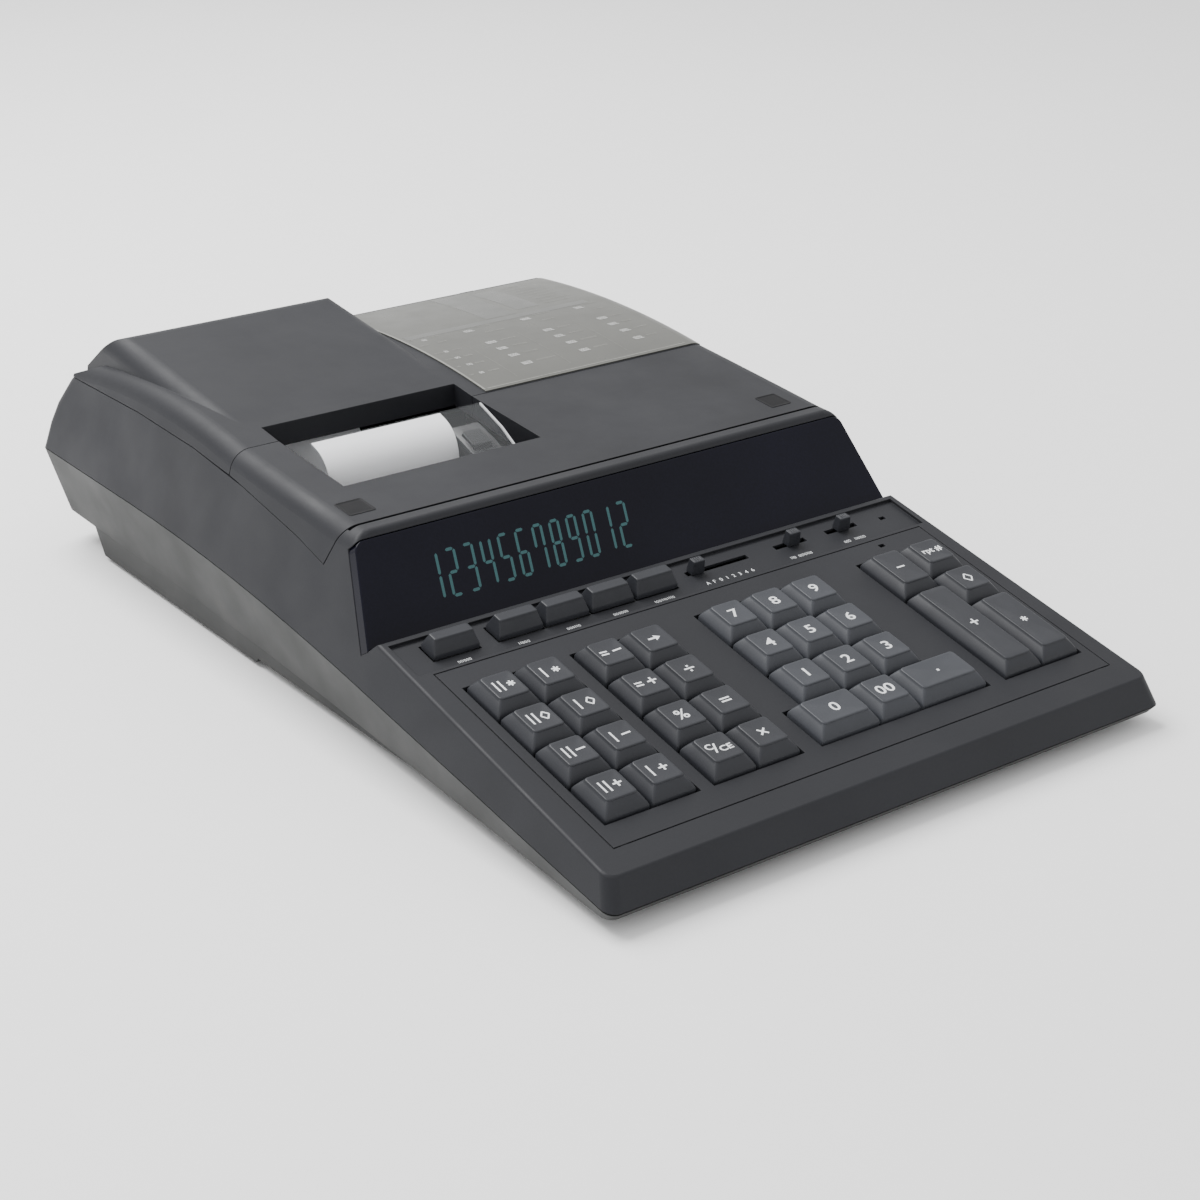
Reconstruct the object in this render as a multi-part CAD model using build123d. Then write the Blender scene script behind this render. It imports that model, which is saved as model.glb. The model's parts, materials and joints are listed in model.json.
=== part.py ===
from build123d import *
import os
from math import cos, pi, radians, sin, tan

# Printing desk calculator. Millimetres, +Z up, front towards -Y, origin on the table
# under the centre of the bounding box. Every piece is a closed solid in its own file.

# ---------------------------------------------------------------- driving dimensions
FRONT_Y = -200.0
REAR_Y = 200.0
SEAM_HALF_WIDTH = 125.5      # half width at the seam between the two cases
UPPER_LEAN = 0.30            # inward lean of the upper walls, mm for each mm of height
LOWER_LEAN = 0.28            # the same going down, for the lower walls
WALL = 2.4                   # moulded wall thickness
GAP = 0.4                    # shadow gap between neighbouring mouldings
FAR = 150.0                  # past every side of the body

# lower seam, side view (y, z): a straight rise, one long arc, then level
SEAM_FRONT = (FRONT_Y, 8.0)
SEAM_BEND = (-45.0, 30.5)
SEAM_LEVEL = (118.0, 42.4)
SEAM_REAR = (REAR_Y, 42.4)

# keyboard deck, tilted up to the display
DECK_SLOPE = 11.5            # degrees
RIM_FRONT = (-195.0, 18.6)
DECK_REAR_Y = -59.5
DISPLAY_FOOT = (-55.0, 42.0)  # the display front stands in a trough behind the deck
DISPLAY_TOP = (-32.4, 76.6)
DISPLAY_SEAM = (-26.0, 76.6)
MID_SEAM = (51.0, 82.0)

# seam between the top case walls and the covers, side view (y, z)
UPPER_SEAM = [(-19.5, 61.4), (0.0, 65.6), (40.0, 71.6), (80.0, 75.2), (125.0, 76.2), (184.0, 75.0)]
REAR_WALL = [(190.5, 69.8), (195.6, 62.0), (198.8, 52.5)]  # rounded rear, down to the lower seam
CASE_CORNER = 5.0            # upright corners of both cases
RIM_ROUND = 1.4
RIDGE_ROUND = 2.5

# printer covers
ARCH = [(51.2, 82.0), (112.0, 86.3), (168.0, 83.0)]  # low side of the paper cover, one long arc
PLATE_X = (1.1, 111.0)
PLATE_Y = (51.8, 165.0)
PLATE_THICK = 0.45
HUMP_CREST = (164.0, 95.2)
HUMP_X = (-106.5, 0.5)
HUMP_ROUND = 9.0
HINGE = (183.5, 71.5)
HINGE_X = 80.0
BAY_X = (-94.0, -6.0)        # paper exit bay, shared by the two covers
BAY_Y = (4.0, 64.0)

# keyboard grid, measured along the deck
PITCH_X = 19.05
PITCH_S = 20.25
KEY_GAP = 1.0
KEY_HEIGHT = 4.9
KEY_TAPER = (2.8, 3.7, 2.1)  # how far the key top stands in from the sides, front and rear
KEY_TRAVEL = 3.5
WELL_MARGIN = 0.6
GRID_FRONT_Y = -173.0
BLOCK_X = {"a": -107.3, "b": -62.6, "c": -7.1, "d": 71.6}
ZERO_EXTRA = 8.6
POINT_EXTRA = 13.0
DECK_THICK = 2.4

# groove round the keyboard field, and indicator holes (x, s)
FIELD_X = (-112.4, 114.2)
FIELD_S = (-11.4, 92.7)
GROOVE = 0.5
INDICATORS = [(105.8, 105.0), (90.3, 88.1)]

# function strip behind the keys
STRIP_FRONT_S = 94.0
STRIP_REAR_S = 113.5
STRIP_HALF_WIDTH = 117.5
STRIP_DEPTH = 1.2
BUTTON_X = [-97.3, -70.2, -50.0, -29.8, -9.6]
BUTTON_SIZE = (19.0, 9.0, 5.4)
BUTTON_TAPER = (1.4, 2.7, 1.6)
BUTTON_S = 105.0
BUTTON_TRAVEL = 1.5
SWITCH_S = 106.2
SLOT_HALF_WIDTH = 1.25
SLOT_MARGIN = 0.8
SWITCHES = {"left": (9.0, 37.0, 12.5), "middle": (52.0, 66.0, 59.5), "right": (78.0, 92.0, 85.0)}

# paper path and printer
PAPER_WIDTH = 57.0
PAPER_X = -62.5
ROLL_CENTRE = (118.0, 49.5)
ROLL_RADIUS = 30.0
CORE_RADIUS = 8.0
PLATEN_CENTRE = (26.0, 56.0)
PLATEN_RADIUS = 7.0
GEAR_MODULE = 1.0
PLATEN_TEETH = 20
DRIVE_TEETH = 12

# base
FLOOR_CLEAR = 2.0
PAN_HALF_WIDTH = 117.0
PAN_FRONT_BOTTOM = 4.0
STEP_Y = (34.0, 168.0)

# fits and fasteners
PIN_RADIUS = 2.0
PIN_CLEARANCE = 0.05
SHAFT_RADIUS = 2.5
ROD_RADIUS = 2.0
SPINDLE_RADIUS = 5.0
STEM_REACH = 9.0
BOARD_DEPTH = 13.2
SCREW_X = 108.0
SCREW_Y = (-180.0, 140.0)
SCREW_RADIUS = 1.5
SCREW_HEAD_RADIUS = 3.0
SCREW_HEAD = 2.2
SCREW_JOINT_Z = 12.0
SCREW_DEPTH = 6.0
COVER_ROUND = 8.5

# display window pane, a thick slab across the whole front of the display housing
WINDOW_HEIGHT = 38.4
WINDOW_THICK = 4.0
WINDOW_CORNER = 4.5
WINDOW_EDGE = 0.7

# printer mechanism
FRAME_X = (-100.0, -5.0)
RODS = [(9.0, 46.0), (9.0, 60.0)]
CARRIAGE_Y = (4.5, 16.5)
CRADLE_FLOOR = 4.4

# rear panel fittings
ROCKER_X = (70.0, 84.0)
ROCKER_Z = (20.0, 38.0)
ROCKER_PIVOT = (191.0, 29.0)
ROCKER_CLEAR = 1.4
INLET_X = (-92.0, -72.0)
INLET_Z = (20.0, 32.0)

DECK_TAN = tan(radians(DECK_SLOPE))


def deck_z(y):
    """Height of the deck plane above the table at y."""
    return RIM_FRONT[1] + DECK_TAN * (y - RIM_FRONT[0])


DECK = Plane(
    origin=(0, GRID_FRONT_Y, deck_z(GRID_FRONT_Y)),
    x_dir=(1, 0, 0),
    z_dir=(0, -sin(radians(DECK_SLOPE)), cos(radians(DECK_SLOPE))),
)


def save(name, shape):
    """Write one named piece to its own STEP file."""
    shape.label = name
    export_step(shape, f"parts/{name}.step")


def block(x, y, z):
    """Box from its lowest and highest corner along each axis."""
    size = (x[1] - x[0], y[1] - y[0], z[1] - z[0])
    centre = ((x[0] + x[1]) / 2, (y[0] + y[1]) / 2, (z[0] + z[1]) / 2)
    return Pos(*centre) * Box(*size)


def on_deck(x, s, n):
    """Box given in deck coordinates: x across, s up the slope, n out of the deck."""
    return DECK.location * block(x, s, n)


def slab(points, x, round_at=None, radius=0.0):
    """Side view outline (y, z) pulled from x[0] to x[1], with one corner rounded if asked."""
    outline = make_face(Polyline(*points, close=True))
    if round_at:
        outline = fillet(outline.vertices().sort_by_distance((*round_at, 0))[0], radius)
    return Pos(x[0], 0, 0) * extrude(Plane.YZ * outline, x[1] - x[0])


def rod(centre, radius, x):
    """Round bar along x with its centre at (y, z)."""
    return Pos(x[0], *centre) * (Plane.YZ * extrude(Circle(radius), x[1] - x[0]))


def seam_edges(half_width, drop):
    """The lower seam as three tangent edges in the plane x = -half_width."""
    corners = [SEAM_FRONT, SEAM_BEND, SEAM_LEVEL, SEAM_REAR]
    front, bend, level, rear = [Vector(-half_width, y, z - drop) for y, z in corners]
    ahead = (bend - front).normalized()
    return [
        Edge.make_line(front - ahead * 40, bend),
        Edge.make_tangent_arc(bend, ahead, level),
        Edge.make_line(level, rear + Vector(0, 40, 0)),
    ]


def wall_cutters(half_width, lean, height, drop=0.0):
    """Everything outside the leaning side walls, left and right of the seam."""
    reach = Vector(-60, 0, 0)
    rise = Vector(lean * abs(height), 0, height)
    parts = [Solid.extrude(Face.extrude(edge, reach), rise) for edge in seam_edges(half_width, drop)]
    left = Part(children=[]) + parts
    return left + mirror(left, about=Plane.YZ)


def seam_face(offset=0.0):
    """Side view face of everything above the lower seam, up to a high ceiling."""
    corners = (SEAM_FRONT, SEAM_BEND, SEAM_LEVEL, SEAM_REAR)
    front, bend, level, rear = [Vector(0, y, z + offset) for y, z in corners]
    ahead = (bend - front).normalized()
    start = front - ahead * 40
    end = rear + Vector(0, 40, 0)
    edges = [
        Edge.make_line(start, bend),
        Edge.make_tangent_arc(bend, ahead, level),
        Edge.make_line(level, end),
        Edge.make_line(end, Vector(0, end.Y, 200)),
        Edge.make_line(Vector(0, end.Y, 200), Vector(0, start.Y, 200)),
        Edge.make_line(Vector(0, start.Y, 200), start),
    ]
    return Face(Wire(edges))


def above_seam(offset=0.0):
    """Solid of everything above the lower seam."""
    return Pos(-FAR, 0, 0) * extrude(seam_face(offset), 2 * FAR, dir=(1, 0, 0))


# ---------------------------------------------------------------- top case
front_slope = (RIM_FRONT[0] - SEAM_FRONT[0]) / (RIM_FRONT[1] - SEAM_FRONT[1])
FRONT_FOOT = (SEAM_FRONT[0] - front_slope * SEAM_FRONT[1], 0.0)
DECK_REAR = (DECK_REAR_Y, deck_z(DECK_REAR_Y))
face_up = Vector(0, DISPLAY_TOP[0] - DISPLAY_FOOT[0], DISPLAY_TOP[1] - DISPLAY_FOOT[1]).normalized()
DISPLAY = Plane(origin=(0, *DISPLAY_FOOT), x_dir=(1, 0, 0), z_dir=Vector(1, 0, 0).cross(face_up))
UPPER_WALLS = wall_cutters(SEAM_HALF_WIDTH, UPPER_LEAN, 110)
UPPER_WALLS_INNER = wall_cutters(SEAM_HALF_WIDTH - WALL, UPPER_LEAN, 110)


def on_display(x, u, n):
    """Box on the display face: x across, u up the face, n out of it."""
    return DISPLAY.location * block(x, u, n)


def key_cells():
    """Every key cell as name: (x0, x1, s0, s1) on the deck."""
    cells = {}
    for name, columns in (("a", 2), ("b", 2), ("c", 3)):
        for column in range(columns):
            for row in range(4):
                if name == "c" and row == 0:
                    continue
                x0 = BLOCK_X[name] + column * PITCH_X
                cells[f"{name}{row}{column}"] = (x0, x0 + PITCH_X, row * PITCH_S, (row + 1) * PITCH_S)
    c = BLOCK_X["c"]
    cells["zero"] = (c - ZERO_EXTRA, c + PITCH_X, 0, PITCH_S)
    cells["double_zero"] = (c + PITCH_X, c + 2 * PITCH_X, 0, PITCH_S)
    cells["point"] = (c + 2 * PITCH_X, c + 3 * PITCH_X + POINT_EXTRA, 0, PITCH_S)
    d = BLOCK_X["d"]
    split = 2.68 * PITCH_S
    cells["plus"] = (d, d + PITCH_X, 0, split)
    cells["minus"] = (d, d + PITCH_X, split, 4 * PITCH_S)
    cells["total"] = (d + PITCH_X, d + 2 * PITCH_X, 0, 2 * PITCH_S)
    cells["subtotal"] = (d + PITCH_X, d + 2 * PITCH_X, 2 * PITCH_S, 3 * PITCH_S)
    cells["repeat"] = (d + PITCH_X, d + 2 * PITCH_X, 3 * PITCH_S, 4 * PITCH_S)
    return cells


KEY_NAMES = {
    "a00": "key_memory_two_plus", "a01": "key_memory_one_plus",
    "a10": "key_memory_two_minus", "a11": "key_memory_one_minus",
    "a20": "key_memory_two_subtotal", "a21": "key_memory_one_subtotal",
    "a30": "key_memory_two_total", "a31": "key_memory_one_total",
    "b00": "key_clear", "b01": "key_multiply", "b10": "key_percent", "b11": "key_equals",
    "b20": "key_equals_plus", "b21": "key_divide", "b30": "key_equals_minus", "b31": "key_feed",
    "c10": "key_1", "c11": "key_2", "c12": "key_3", "c20": "key_4", "c21": "key_5", "c22": "key_6",
    "c30": "key_7", "c31": "key_8", "c32": "key_9",
    "zero": "key_0", "double_zero": "key_00", "point": "key_point",
    "plus": "key_plus", "minus": "key_minus", "total": "key_total", "subtotal": "key_subtotal",
    "repeat": "key_repeat",
}


def well(cells):
    """Openings in the deck for a list of key cells."""
    return [
        on_deck((x0 - WELL_MARGIN, x1 + WELL_MARGIN), (s0 - WELL_MARGIN, s1 + WELL_MARGIN), (-20, 20))
        for x0, x1, s0, s1 in cells
    ]


def round_upright_corners(shell, end_y):
    """Rounds the two upright corners at one end of a case."""
    corners = shell.edges().filter_by(lambda e: abs(e.center().Y - end_y) < 11 and abs(e.center().X) > 100
                                      and e.bounding_box().size.Z > 2.5 and e.bounding_box().size.X < 12)
    return fillet(corners, CASE_CORNER)


def make_top_case():
    """Deck, side walls, display housing and rear wall in one moulding."""
    join_y = UPPER_SEAM[0][0]
    shelf_end = (join_y + 60, DISPLAY_TOP[1])  # a long level top, so that its edges can be rounded before the cut
    side_view = [FRONT_FOOT, RIM_FRONT, DECK_REAR, DISPLAY_FOOT, DISPLAY_TOP, shelf_end, (shelf_end[0], 0)]
    front = slab(side_view, (-FAR, FAR))
    front = round_upright_corners((front & above_seam(GAP / 2)) - UPPER_WALLS, FRONT_Y)
    rim = front.edges().filter_by(lambda e: e.center().Y < DECK_REAR_Y + 0.1
                                  and e.center().Z > deck_z(e.center().Y) - 1.2
                                  and e.center().Z > 10)
    front = fillet(rim, RIM_ROUND)
    y, z = DISPLAY_TOP
    shoulders = front.edges().filter_by(lambda e: abs(e.center().Z - z) < 0.1 and abs(e.center().X) > 100
                                        and e.bounding_box().size.Y > 40)
    front = fillet(shoulders, COVER_ROUND)
    ridge = front.edges().filter_by(lambda e: abs(e.center().Y - y) < 0.1 and abs(e.center().Z - z) < 0.1)
    front = fillet(ridge, RIDGE_ROUND)
    kept = [(-FAR - 100, 0), (-FAR - 100, FAR), (DISPLAY_SEAM[0], FAR), DISPLAY_SEAM, UPPER_SEAM[0], (join_y, 0)]
    front &= slab(kept, (-FAR, FAR))
    rear = slab([(join_y, 0), *UPPER_SEAM, *REAR_WALL, (REAR_Y, SEAM_REAR[1]), (REAR_Y, 0)], (-FAR, FAR))
    rear = round_upright_corners((rear & above_seam(GAP / 2)) - UPPER_WALLS, REAR_Y)
    outer = front + rear
    deck_in = deck_z(0) - DECK_THICK / cos(radians(DECK_SLOPE))
    foot_in = DISPLAY_FOOT[0] + 0.5
    behind = WINDOW_THICK + 1.8
    face_in = (DISPLAY_TOP[0] + behind / face_up.Z, DISPLAY_TOP[1])
    inner_outline = [
        (FRONT_FOOT[0] + WALL, 0), (RIM_FRONT[0] + WALL, deck_in + DECK_TAN * (RIM_FRONT[0] + WALL)),
        (DECK_REAR_Y - 1.5, deck_in + DECK_TAN * (DECK_REAR_Y - 1.5)), (foot_in, DISPLAY_FOOT[1] - WALL - 0.8),
        (foot_in + 3.5, DISPLAY_FOOT[1] - WALL - 0.8),
        (face_in[0] - face_up.Y / face_up.Z * WALL, face_in[1] - WALL),
        (DISPLAY_SEAM[0] - 1.0, DISPLAY_TOP[1] - WALL), (DISPLAY_SEAM[0] - 1.0, 100),
        (UPPER_SEAM[-1][0] - WALL - 1, 100), (UPPER_SEAM[-1][0] - WALL - 1, UPPER_SEAM[-1][1]),
        *[(y - WALL - 0.4, z) for y, z in REAR_WALL], (REAR_Y - WALL, SEAM_REAR[1]), (REAR_Y - WALL, 0),
    ]
    inner = slab(inner_outline, (-FAR, FAR)) - UPPER_WALLS_INNER
    case = outer - inner
    case -= well(key_cells().values())
    case -= on_deck((-STRIP_HALF_WIDTH, STRIP_HALF_WIDTH), (STRIP_FRONT_S, STRIP_REAR_S), (-STRIP_DEPTH, 5))
    groove = on_deck(FIELD_X, FIELD_S, (-GROOVE, 5))
    inset = on_deck((FIELD_X[0] + GROOVE, FIELD_X[1] - GROOVE), (FIELD_S[0] + GROOVE, FIELD_S[1] - GROOVE), (-5, 6))
    return case - (groove - inset)


def add_top_case_details(case):
    """Openings of the function strip, display pocket, screw bosses and hinge notches."""
    for x in BUTTON_X:
        width, depth, _ = BUTTON_SIZE
        case -= on_deck((x - width / 2 - 0.5, x + width / 2 + 0.5),
                        (BUTTON_S - depth / 2 - 0.5, BUTTON_S + depth / 2 + 0.5), (-20, 5))
    for x0, x1, _ in SWITCHES.values():
        case -= on_deck((x0 - SLOT_MARGIN, x1 + SLOT_MARGIN),
                        (SWITCH_S - SLOT_HALF_WIDTH, SWITCH_S + SLOT_HALF_WIDTH), (-20, 5))
    case -= window_solid(0.15)
    case -= on_display((-95, 8), (7, 32), (-10, 5))
    for x, s in INDICATORS:
        case -= on_deck((x - 1.4, x + 1.4), (s - 0.9, s + 0.9), (-20, 5))
    for x in (-SCREW_X, SCREW_X):
        for y in (SCREW_Y[0], SCREW_Y[1]):
            top = deck_z(y) - 1 if y < DECK_REAR_Y else 52
            column = Pos(x, y, SCREW_JOINT_Z) * extrude(Circle(4), top - SCREW_JOINT_Z)
            column -= Pos(x, y, SCREW_JOINT_Z) * extrude(Circle(SCREW_RADIUS), SCREW_DEPTH)
            if y > 0:
                reach = (-SEAM_HALF_WIDTH, 2 - SCREW_X) if x < 0 else (SCREW_X - 2, SEAM_HALF_WIDTH)
                column += block(reach, (y - 1, y + 1), (SEAM_REAR[1] + 1, 52)) - UPPER_WALLS_INNER
            case += column
    y, z = HINGE
    for x in (-HINGE_X, HINGE_X):
        boss = block((x - 13, x + 13), (y - 4.5, y + 5), (z - 9, z + 2.8))
        boss &= slab([(150, 0), (150, 90), (175, 90), UPPER_SEAM[-1], REAR_WALL[0], (190, 0)], (-FAR, FAR))
        case += boss
        case -= block((x - 4.5, x + 4.5), (y - 8, y + 20), (z - 3.9, z + 20))
        case -= rod(HINGE, PIN_RADIUS + PIN_CLEARANCE, (x - 9, x + 9))
    return case


def window_solid(grow=0.0):
    """Dark display window: a thick pane across the sloping front, with rounded top corners."""
    reach = 2 * grow
    pane = on_display((-FAR, FAR), (-grow, WINDOW_HEIGHT + grow), (-WINDOW_THICK - grow, reach))
    pane -= wall_cutters(SEAM_HALF_WIDTH - 0.2 + 5 * grow, UPPER_LEAN, 110)
    corners = pane.edges().filter_by(lambda e: abs(e.length - WINDOW_THICK - grow - reach) < 1
                                     and e.center().Z > 65 and abs(e.center().X) > 90)
    pane = fillet(corners, WINDOW_CORNER)
    if grow:
        return pane
    front = pane.faces().sort_by(Axis((0, 0, 0), DISPLAY.z_dir))[-1]
    return fillet(front.edges(), WINDOW_EDGE)


def make_front_cover():
    """Snap-on printer cover in front of the middle seam, with the front of the paper bay."""
    low = [(y, z + GAP) for y, z in UPPER_SEAM if y < MID_SEAM[0]]
    y0, z0 = DISPLAY_SEAM
    y1, z1 = MID_SEAM
    outline = [(y0 + GAP, z0), (y1 - GAP / 2, z1), (y1 - GAP / 2, 72.9 + GAP), *reversed(low[1:]),
               (low[0][0] + GAP, low[0][1])]
    shell = slab(outline, (-FAR, FAR)) - UPPER_WALLS
    sides = shell.edges().filter_by(lambda e: abs(e.center().X) > 100 and e.center().Z > 76
                                    and e.bounding_box().size.Y > 40)
    shell = fillet(sides, COVER_ROUND)
    inside = [(y0 + GAP + WALL, z0 - WALL + 0.3), (y1 + 5, z1 - WALL + 0.4), (y1 + 5, 40), (y0 + WALL + 4, 40)]
    hollow = slab(inside, (-FAR, FAR)) - UPPER_WALLS_INNER
    bay = block((BAY_X[0] - 1.5, BAY_X[1] + 1.5), (BAY_Y[0] - 1.5, y1 - GAP / 2), (70, 90)) & shell
    shell = (shell - hollow) + bay
    return shell - block(BAY_X, (BAY_Y[0], y1 + 5), (40, 100))


def hump_solid(inset=0.0):
    """Raised hump over the roll: a round-shouldered section run up the crest line."""
    y1, z1 = MID_SEAM
    crest_y, crest_z = HUMP_CREST
    rear_y, rear_z = UPPER_SEAM[-1]
    climb = (crest_z - z1) / (crest_y - y1)
    left, right = HUMP_X[0] + inset, HUMP_X[1] - inset
    section = make_face(Polyline((left - 4, z1 - 30), (left, z1), (right, z1), (right, z1 - 30), close=True))
    section = fillet(section.vertices().filter_by(lambda v: v.Y > z1 - 10), HUMP_ROUND - inset)
    start = y1 - 10
    bar = Pos(0, start, climb * (start - y1) - inset) * extrude(Plane.XZ * section, 160, dir=(0, 1, climb))
    front = start if inset else y1 + GAP / 2
    end = rear_y - 0.5 - 2 * inset
    side = slab([(front, 78 - inset), (front, z1 + climb * (front - y1) - inset), (crest_y, crest_z - inset),
                 (end, rear_z + 4 - 1.5 * inset), (end, rear_z + 1.4 - 1.5 * inset)],
                (-FAR, FAR), (crest_y, crest_z - inset), HUMP_ROUND)
    return bar & side


def arched_slab(start, drop, rest):
    """Side view with the cover arch as its top, lowered by drop, pulled across the body."""
    crest = (ARCH[1][0], ARCH[1][1] - drop)
    end = (ARCH[2][0], ARCH[2][1] - drop)
    outline = make_face(Curve() + [ThreePointArc(start, crest, end), Polyline(end, *rest, start)])
    return Pos(-FAR, 0, 0) * extrude(Plane.YZ * outline, 2 * FAR)


def low_cover():
    """Solid of the low side of the paper cover, its side edges rounded."""
    y1 = MID_SEAM[0]
    rear = UPPER_SEAM[-1]
    floor_line = [(y1 + GAP / 2, 72.9 + GAP), *[(y, z + GAP) for y, z in UPPER_SEAM if y > y1]]
    cover = arched_slab(ARCH[0], 0.0, [(rear[0], rear[1] + 1.5), *reversed(floor_line)]) - UPPER_WALLS
    sides = cover.edges().filter_by(lambda e: abs(e.center().X) > 95 and e.center().Z > 80.5
                                    and e.bounding_box().size.Y > 40)
    return fillet(sides, COVER_ROUND)


def make_rear_cover():
    """Hinged paper cover: low arched side, raised hump over the roll, hinge arms."""
    y1, z1 = MID_SEAM
    rear = UPPER_SEAM[-1]
    cover = low_cover()
    hump = hump_solid(0)
    rear_in = rear[0] - WALL - 1
    hollow = arched_slab((y1 - 5, z1 - WALL - 0.7), WALL, [(rear_in, 76), (rear_in, 40), (y1 - 5, 40)])
    hollow -= UPPER_WALLS_INNER
    hump_hollow = hump_solid(WALL)
    bay = block((BAY_X[0] - 1.5, BAY_X[1] + 1.5), (y1 + GAP / 2, BAY_Y[1] + 1.5), (70, 90)) & (cover + hump)
    cover = cover + hump - hollow - hump_hollow + bay
    cover -= block(BAY_X, (y1 - 5, BAY_Y[1]), (40, 100))
    y, z = HINGE
    for x in (-HINGE_X, HINGE_X):
        arm = rod(HINGE, 3.2, (x - 3.5, x + 3.5)) + block((x - 3.5, x + 3.5), (y - 3.2, y), (z, 77.5))
        cover += arm + rod(HINGE, PIN_RADIUS, (x - 8.5, x + 8.5))
        pin = rod(HINGE, PIN_RADIUS, (x - 9, x + 9))
        cover -= block((x - 13.5, x + 13.5), (y - 6, y + 8), (z - 10, z + 3.7)) - arm - pin
    return cover


def make_plate():
    """Thin instruction plate over the low side of the paper cover, following its rounding."""
    cover = low_cover()
    skin = Pos(0, 0, PLATE_THICK) * cover - Pos(0, 0, 0.02) * cover
    return skin & block(PLATE_X, PLATE_Y, (78, 95))


def make_tear_guide():
    """Clear plastic paper guide whose top edge is the tear bar."""
    line = [(BAY_Y[0], 71.0), (BAY_Y[0], 76.0), (15.0, 82.2), (30.0, 87.6)]
    back = [(y + 0.9, z - 0.9) for y, z in reversed(line[1:])] + [(BAY_Y[0] + 0.9, 71.0)]
    return slab(line + back, (BAY_X[0] + 1, -16.0))


def make_bottom_case():
    """Lower tray: leaning walls under the seam, a flat pan and the stepped rear base."""
    lean = wall_cutters(SEAM_HALF_WIDTH, LOWER_LEAN, -80)
    lean_in = wall_cutters(SEAM_HALF_WIDTH - WALL, LOWER_LEAN, -80)
    wall_outline = [(FRONT_Y - 0.1, 60), (FRONT_Y, SEAM_FRONT[1]), (FRONT_Y + 2.5, 5), (REAR_Y - 3, 13.5),
                    (REAR_Y, SEAM_REAR[1]), (REAR_Y, 60)]
    cap = above_seam(-GAP / 2)
    upper = slab(wall_outline, (-FAR, FAR)) - lean - cap
    corners = upper.edges().filter_by(lambda e: abs(e.center().Y) > 190 and abs(e.center().X) > 100
                                      and e.bounding_box().size.Z > 1.5 and e.bounding_box().size.Y < 4)
    upper = fillet(corners, CASE_CORNER - 0.5)
    pan_outline = [(FRONT_Y + 5, 6.5), (FRONT_Y + 6, PAN_FRONT_BOTTOM), (STEP_Y[0], PAN_FRONT_BOTTOM),
                   (STEP_Y[0] + 1.5, FLOOR_CLEAR), (STEP_Y[1] - 4, FLOOR_CLEAR), (STEP_Y[1] + 4, 13.4),
                   (REAR_Y - 10, 14.5), (REAR_Y - 10, 16)]
    pan = slab(pan_outline + [(0, 12)], (-PAN_HALF_WIDTH, PAN_HALF_WIDTH))
    inner_wall = [(FRONT_Y + WALL, 60), (FRONT_Y + WALL, SEAM_FRONT[1]), (FRONT_Y + 5, 7.4), (REAR_Y - 5.4, 15.9),
                  (REAR_Y - WALL, SEAM_REAR[1]), (REAR_Y - WALL, 60)]
    inner = slab(inner_wall, (-FAR, FAR)) - lean_in
    inner_pan = [(FRONT_Y + 9, 9), (FRONT_Y + 9, PAN_FRONT_BOTTOM + 2.4), (STEP_Y[0] + 2, PAN_FRONT_BOTTOM + 2.4),
                 (STEP_Y[0] + 3.5, FLOOR_CLEAR + 2.4), (STEP_Y[1] - 6, FLOOR_CLEAR + 2.4), (STEP_Y[1] + 1, 15.8),
                 (STEP_Y[1] + 1, 18), (0, 16)]
    inner += slab(inner_pan, (-PAN_HALF_WIDTH + WALL, PAN_HALF_WIDTH - WALL))
    case = upper + pan - inner
    for x in (-SCREW_X, SCREW_X):
        for y in SCREW_Y:
            low = PAN_FRONT_BOTTOM if y < STEP_Y[0] else FLOOR_CLEAR
            case += Pos(x, y, low + 0.5) * extrude(Circle(5), SCREW_JOINT_Z - GAP / 2 - low - 0.5)
            case -= Pos(x, y, low - 3) * extrude(Circle(SCREW_HEAD_RADIUS + 0.3), 3 + SCREW_HEAD)
            case -= Pos(x, y, low - 1) * extrude(Circle(SCREW_RADIUS + 0.15), 40)
    y, z = ROCKER_PIVOT
    case += block((ROCKER_X[0] - 3, ROCKER_X[1] + 3), (y - 4, REAR_Y - 1), (z - 4, z + 4))
    case -= block(ROCKER_X, (REAR_Y - 20, REAR_Y + 5), ROCKER_Z)
    case -= rod(ROCKER_PIVOT, PIN_RADIUS + PIN_CLEARANCE, (ROCKER_X[0] - 10, ROCKER_X[1] + 10))
    case -= block(INLET_X, (REAR_Y - 12, REAR_Y + 5), INLET_Z)
    for index in range(9):
        x = -60 + index * 8.0
        case -= block((x, x + 3), (50, 90), (0, 5))
    return case


def tapered_cap(x, s, low, shoulder, height, taper):
    """Cap on the deck, straight up to the shoulder height, then drawn in to its top."""
    side, front, rear = taper
    sections = []
    for n in (low, shoulder):
        sections.append(section_at((x[0], x[1]), (s[0], s[1]), n))
    sections.append(section_at((x[0] + side, x[1] - side), (s[0] + front, s[1] - rear), height))
    return loft(sections[:2]) + loft(sections[1:])


def section_at(x, s, n):
    """Rectangle face at height n, as a loft section."""
    return Pos((x[0] + x[1]) / 2, (s[0] + s[1]) / 2, n) * Rectangle(x[1] - x[0], s[1] - s[0])


def key_solid(x0, x1, s0, s1):
    """Tapered key cap with its stem, in deck coordinates."""
    half = KEY_GAP / 2
    cap = tapered_cap((x0 + half, x1 - half), (s0 + half, s1 - half), -0.8, 0.6, KEY_HEIGHT, KEY_TAPER)
    x = (x0 + x1) / 2
    s = (s0 + s1) / 2
    stem = block((x - 3, x + 3), (s - 3, s + 3), (-STEM_REACH, -0.8))
    return DECK.location * (cap + stem)


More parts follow.
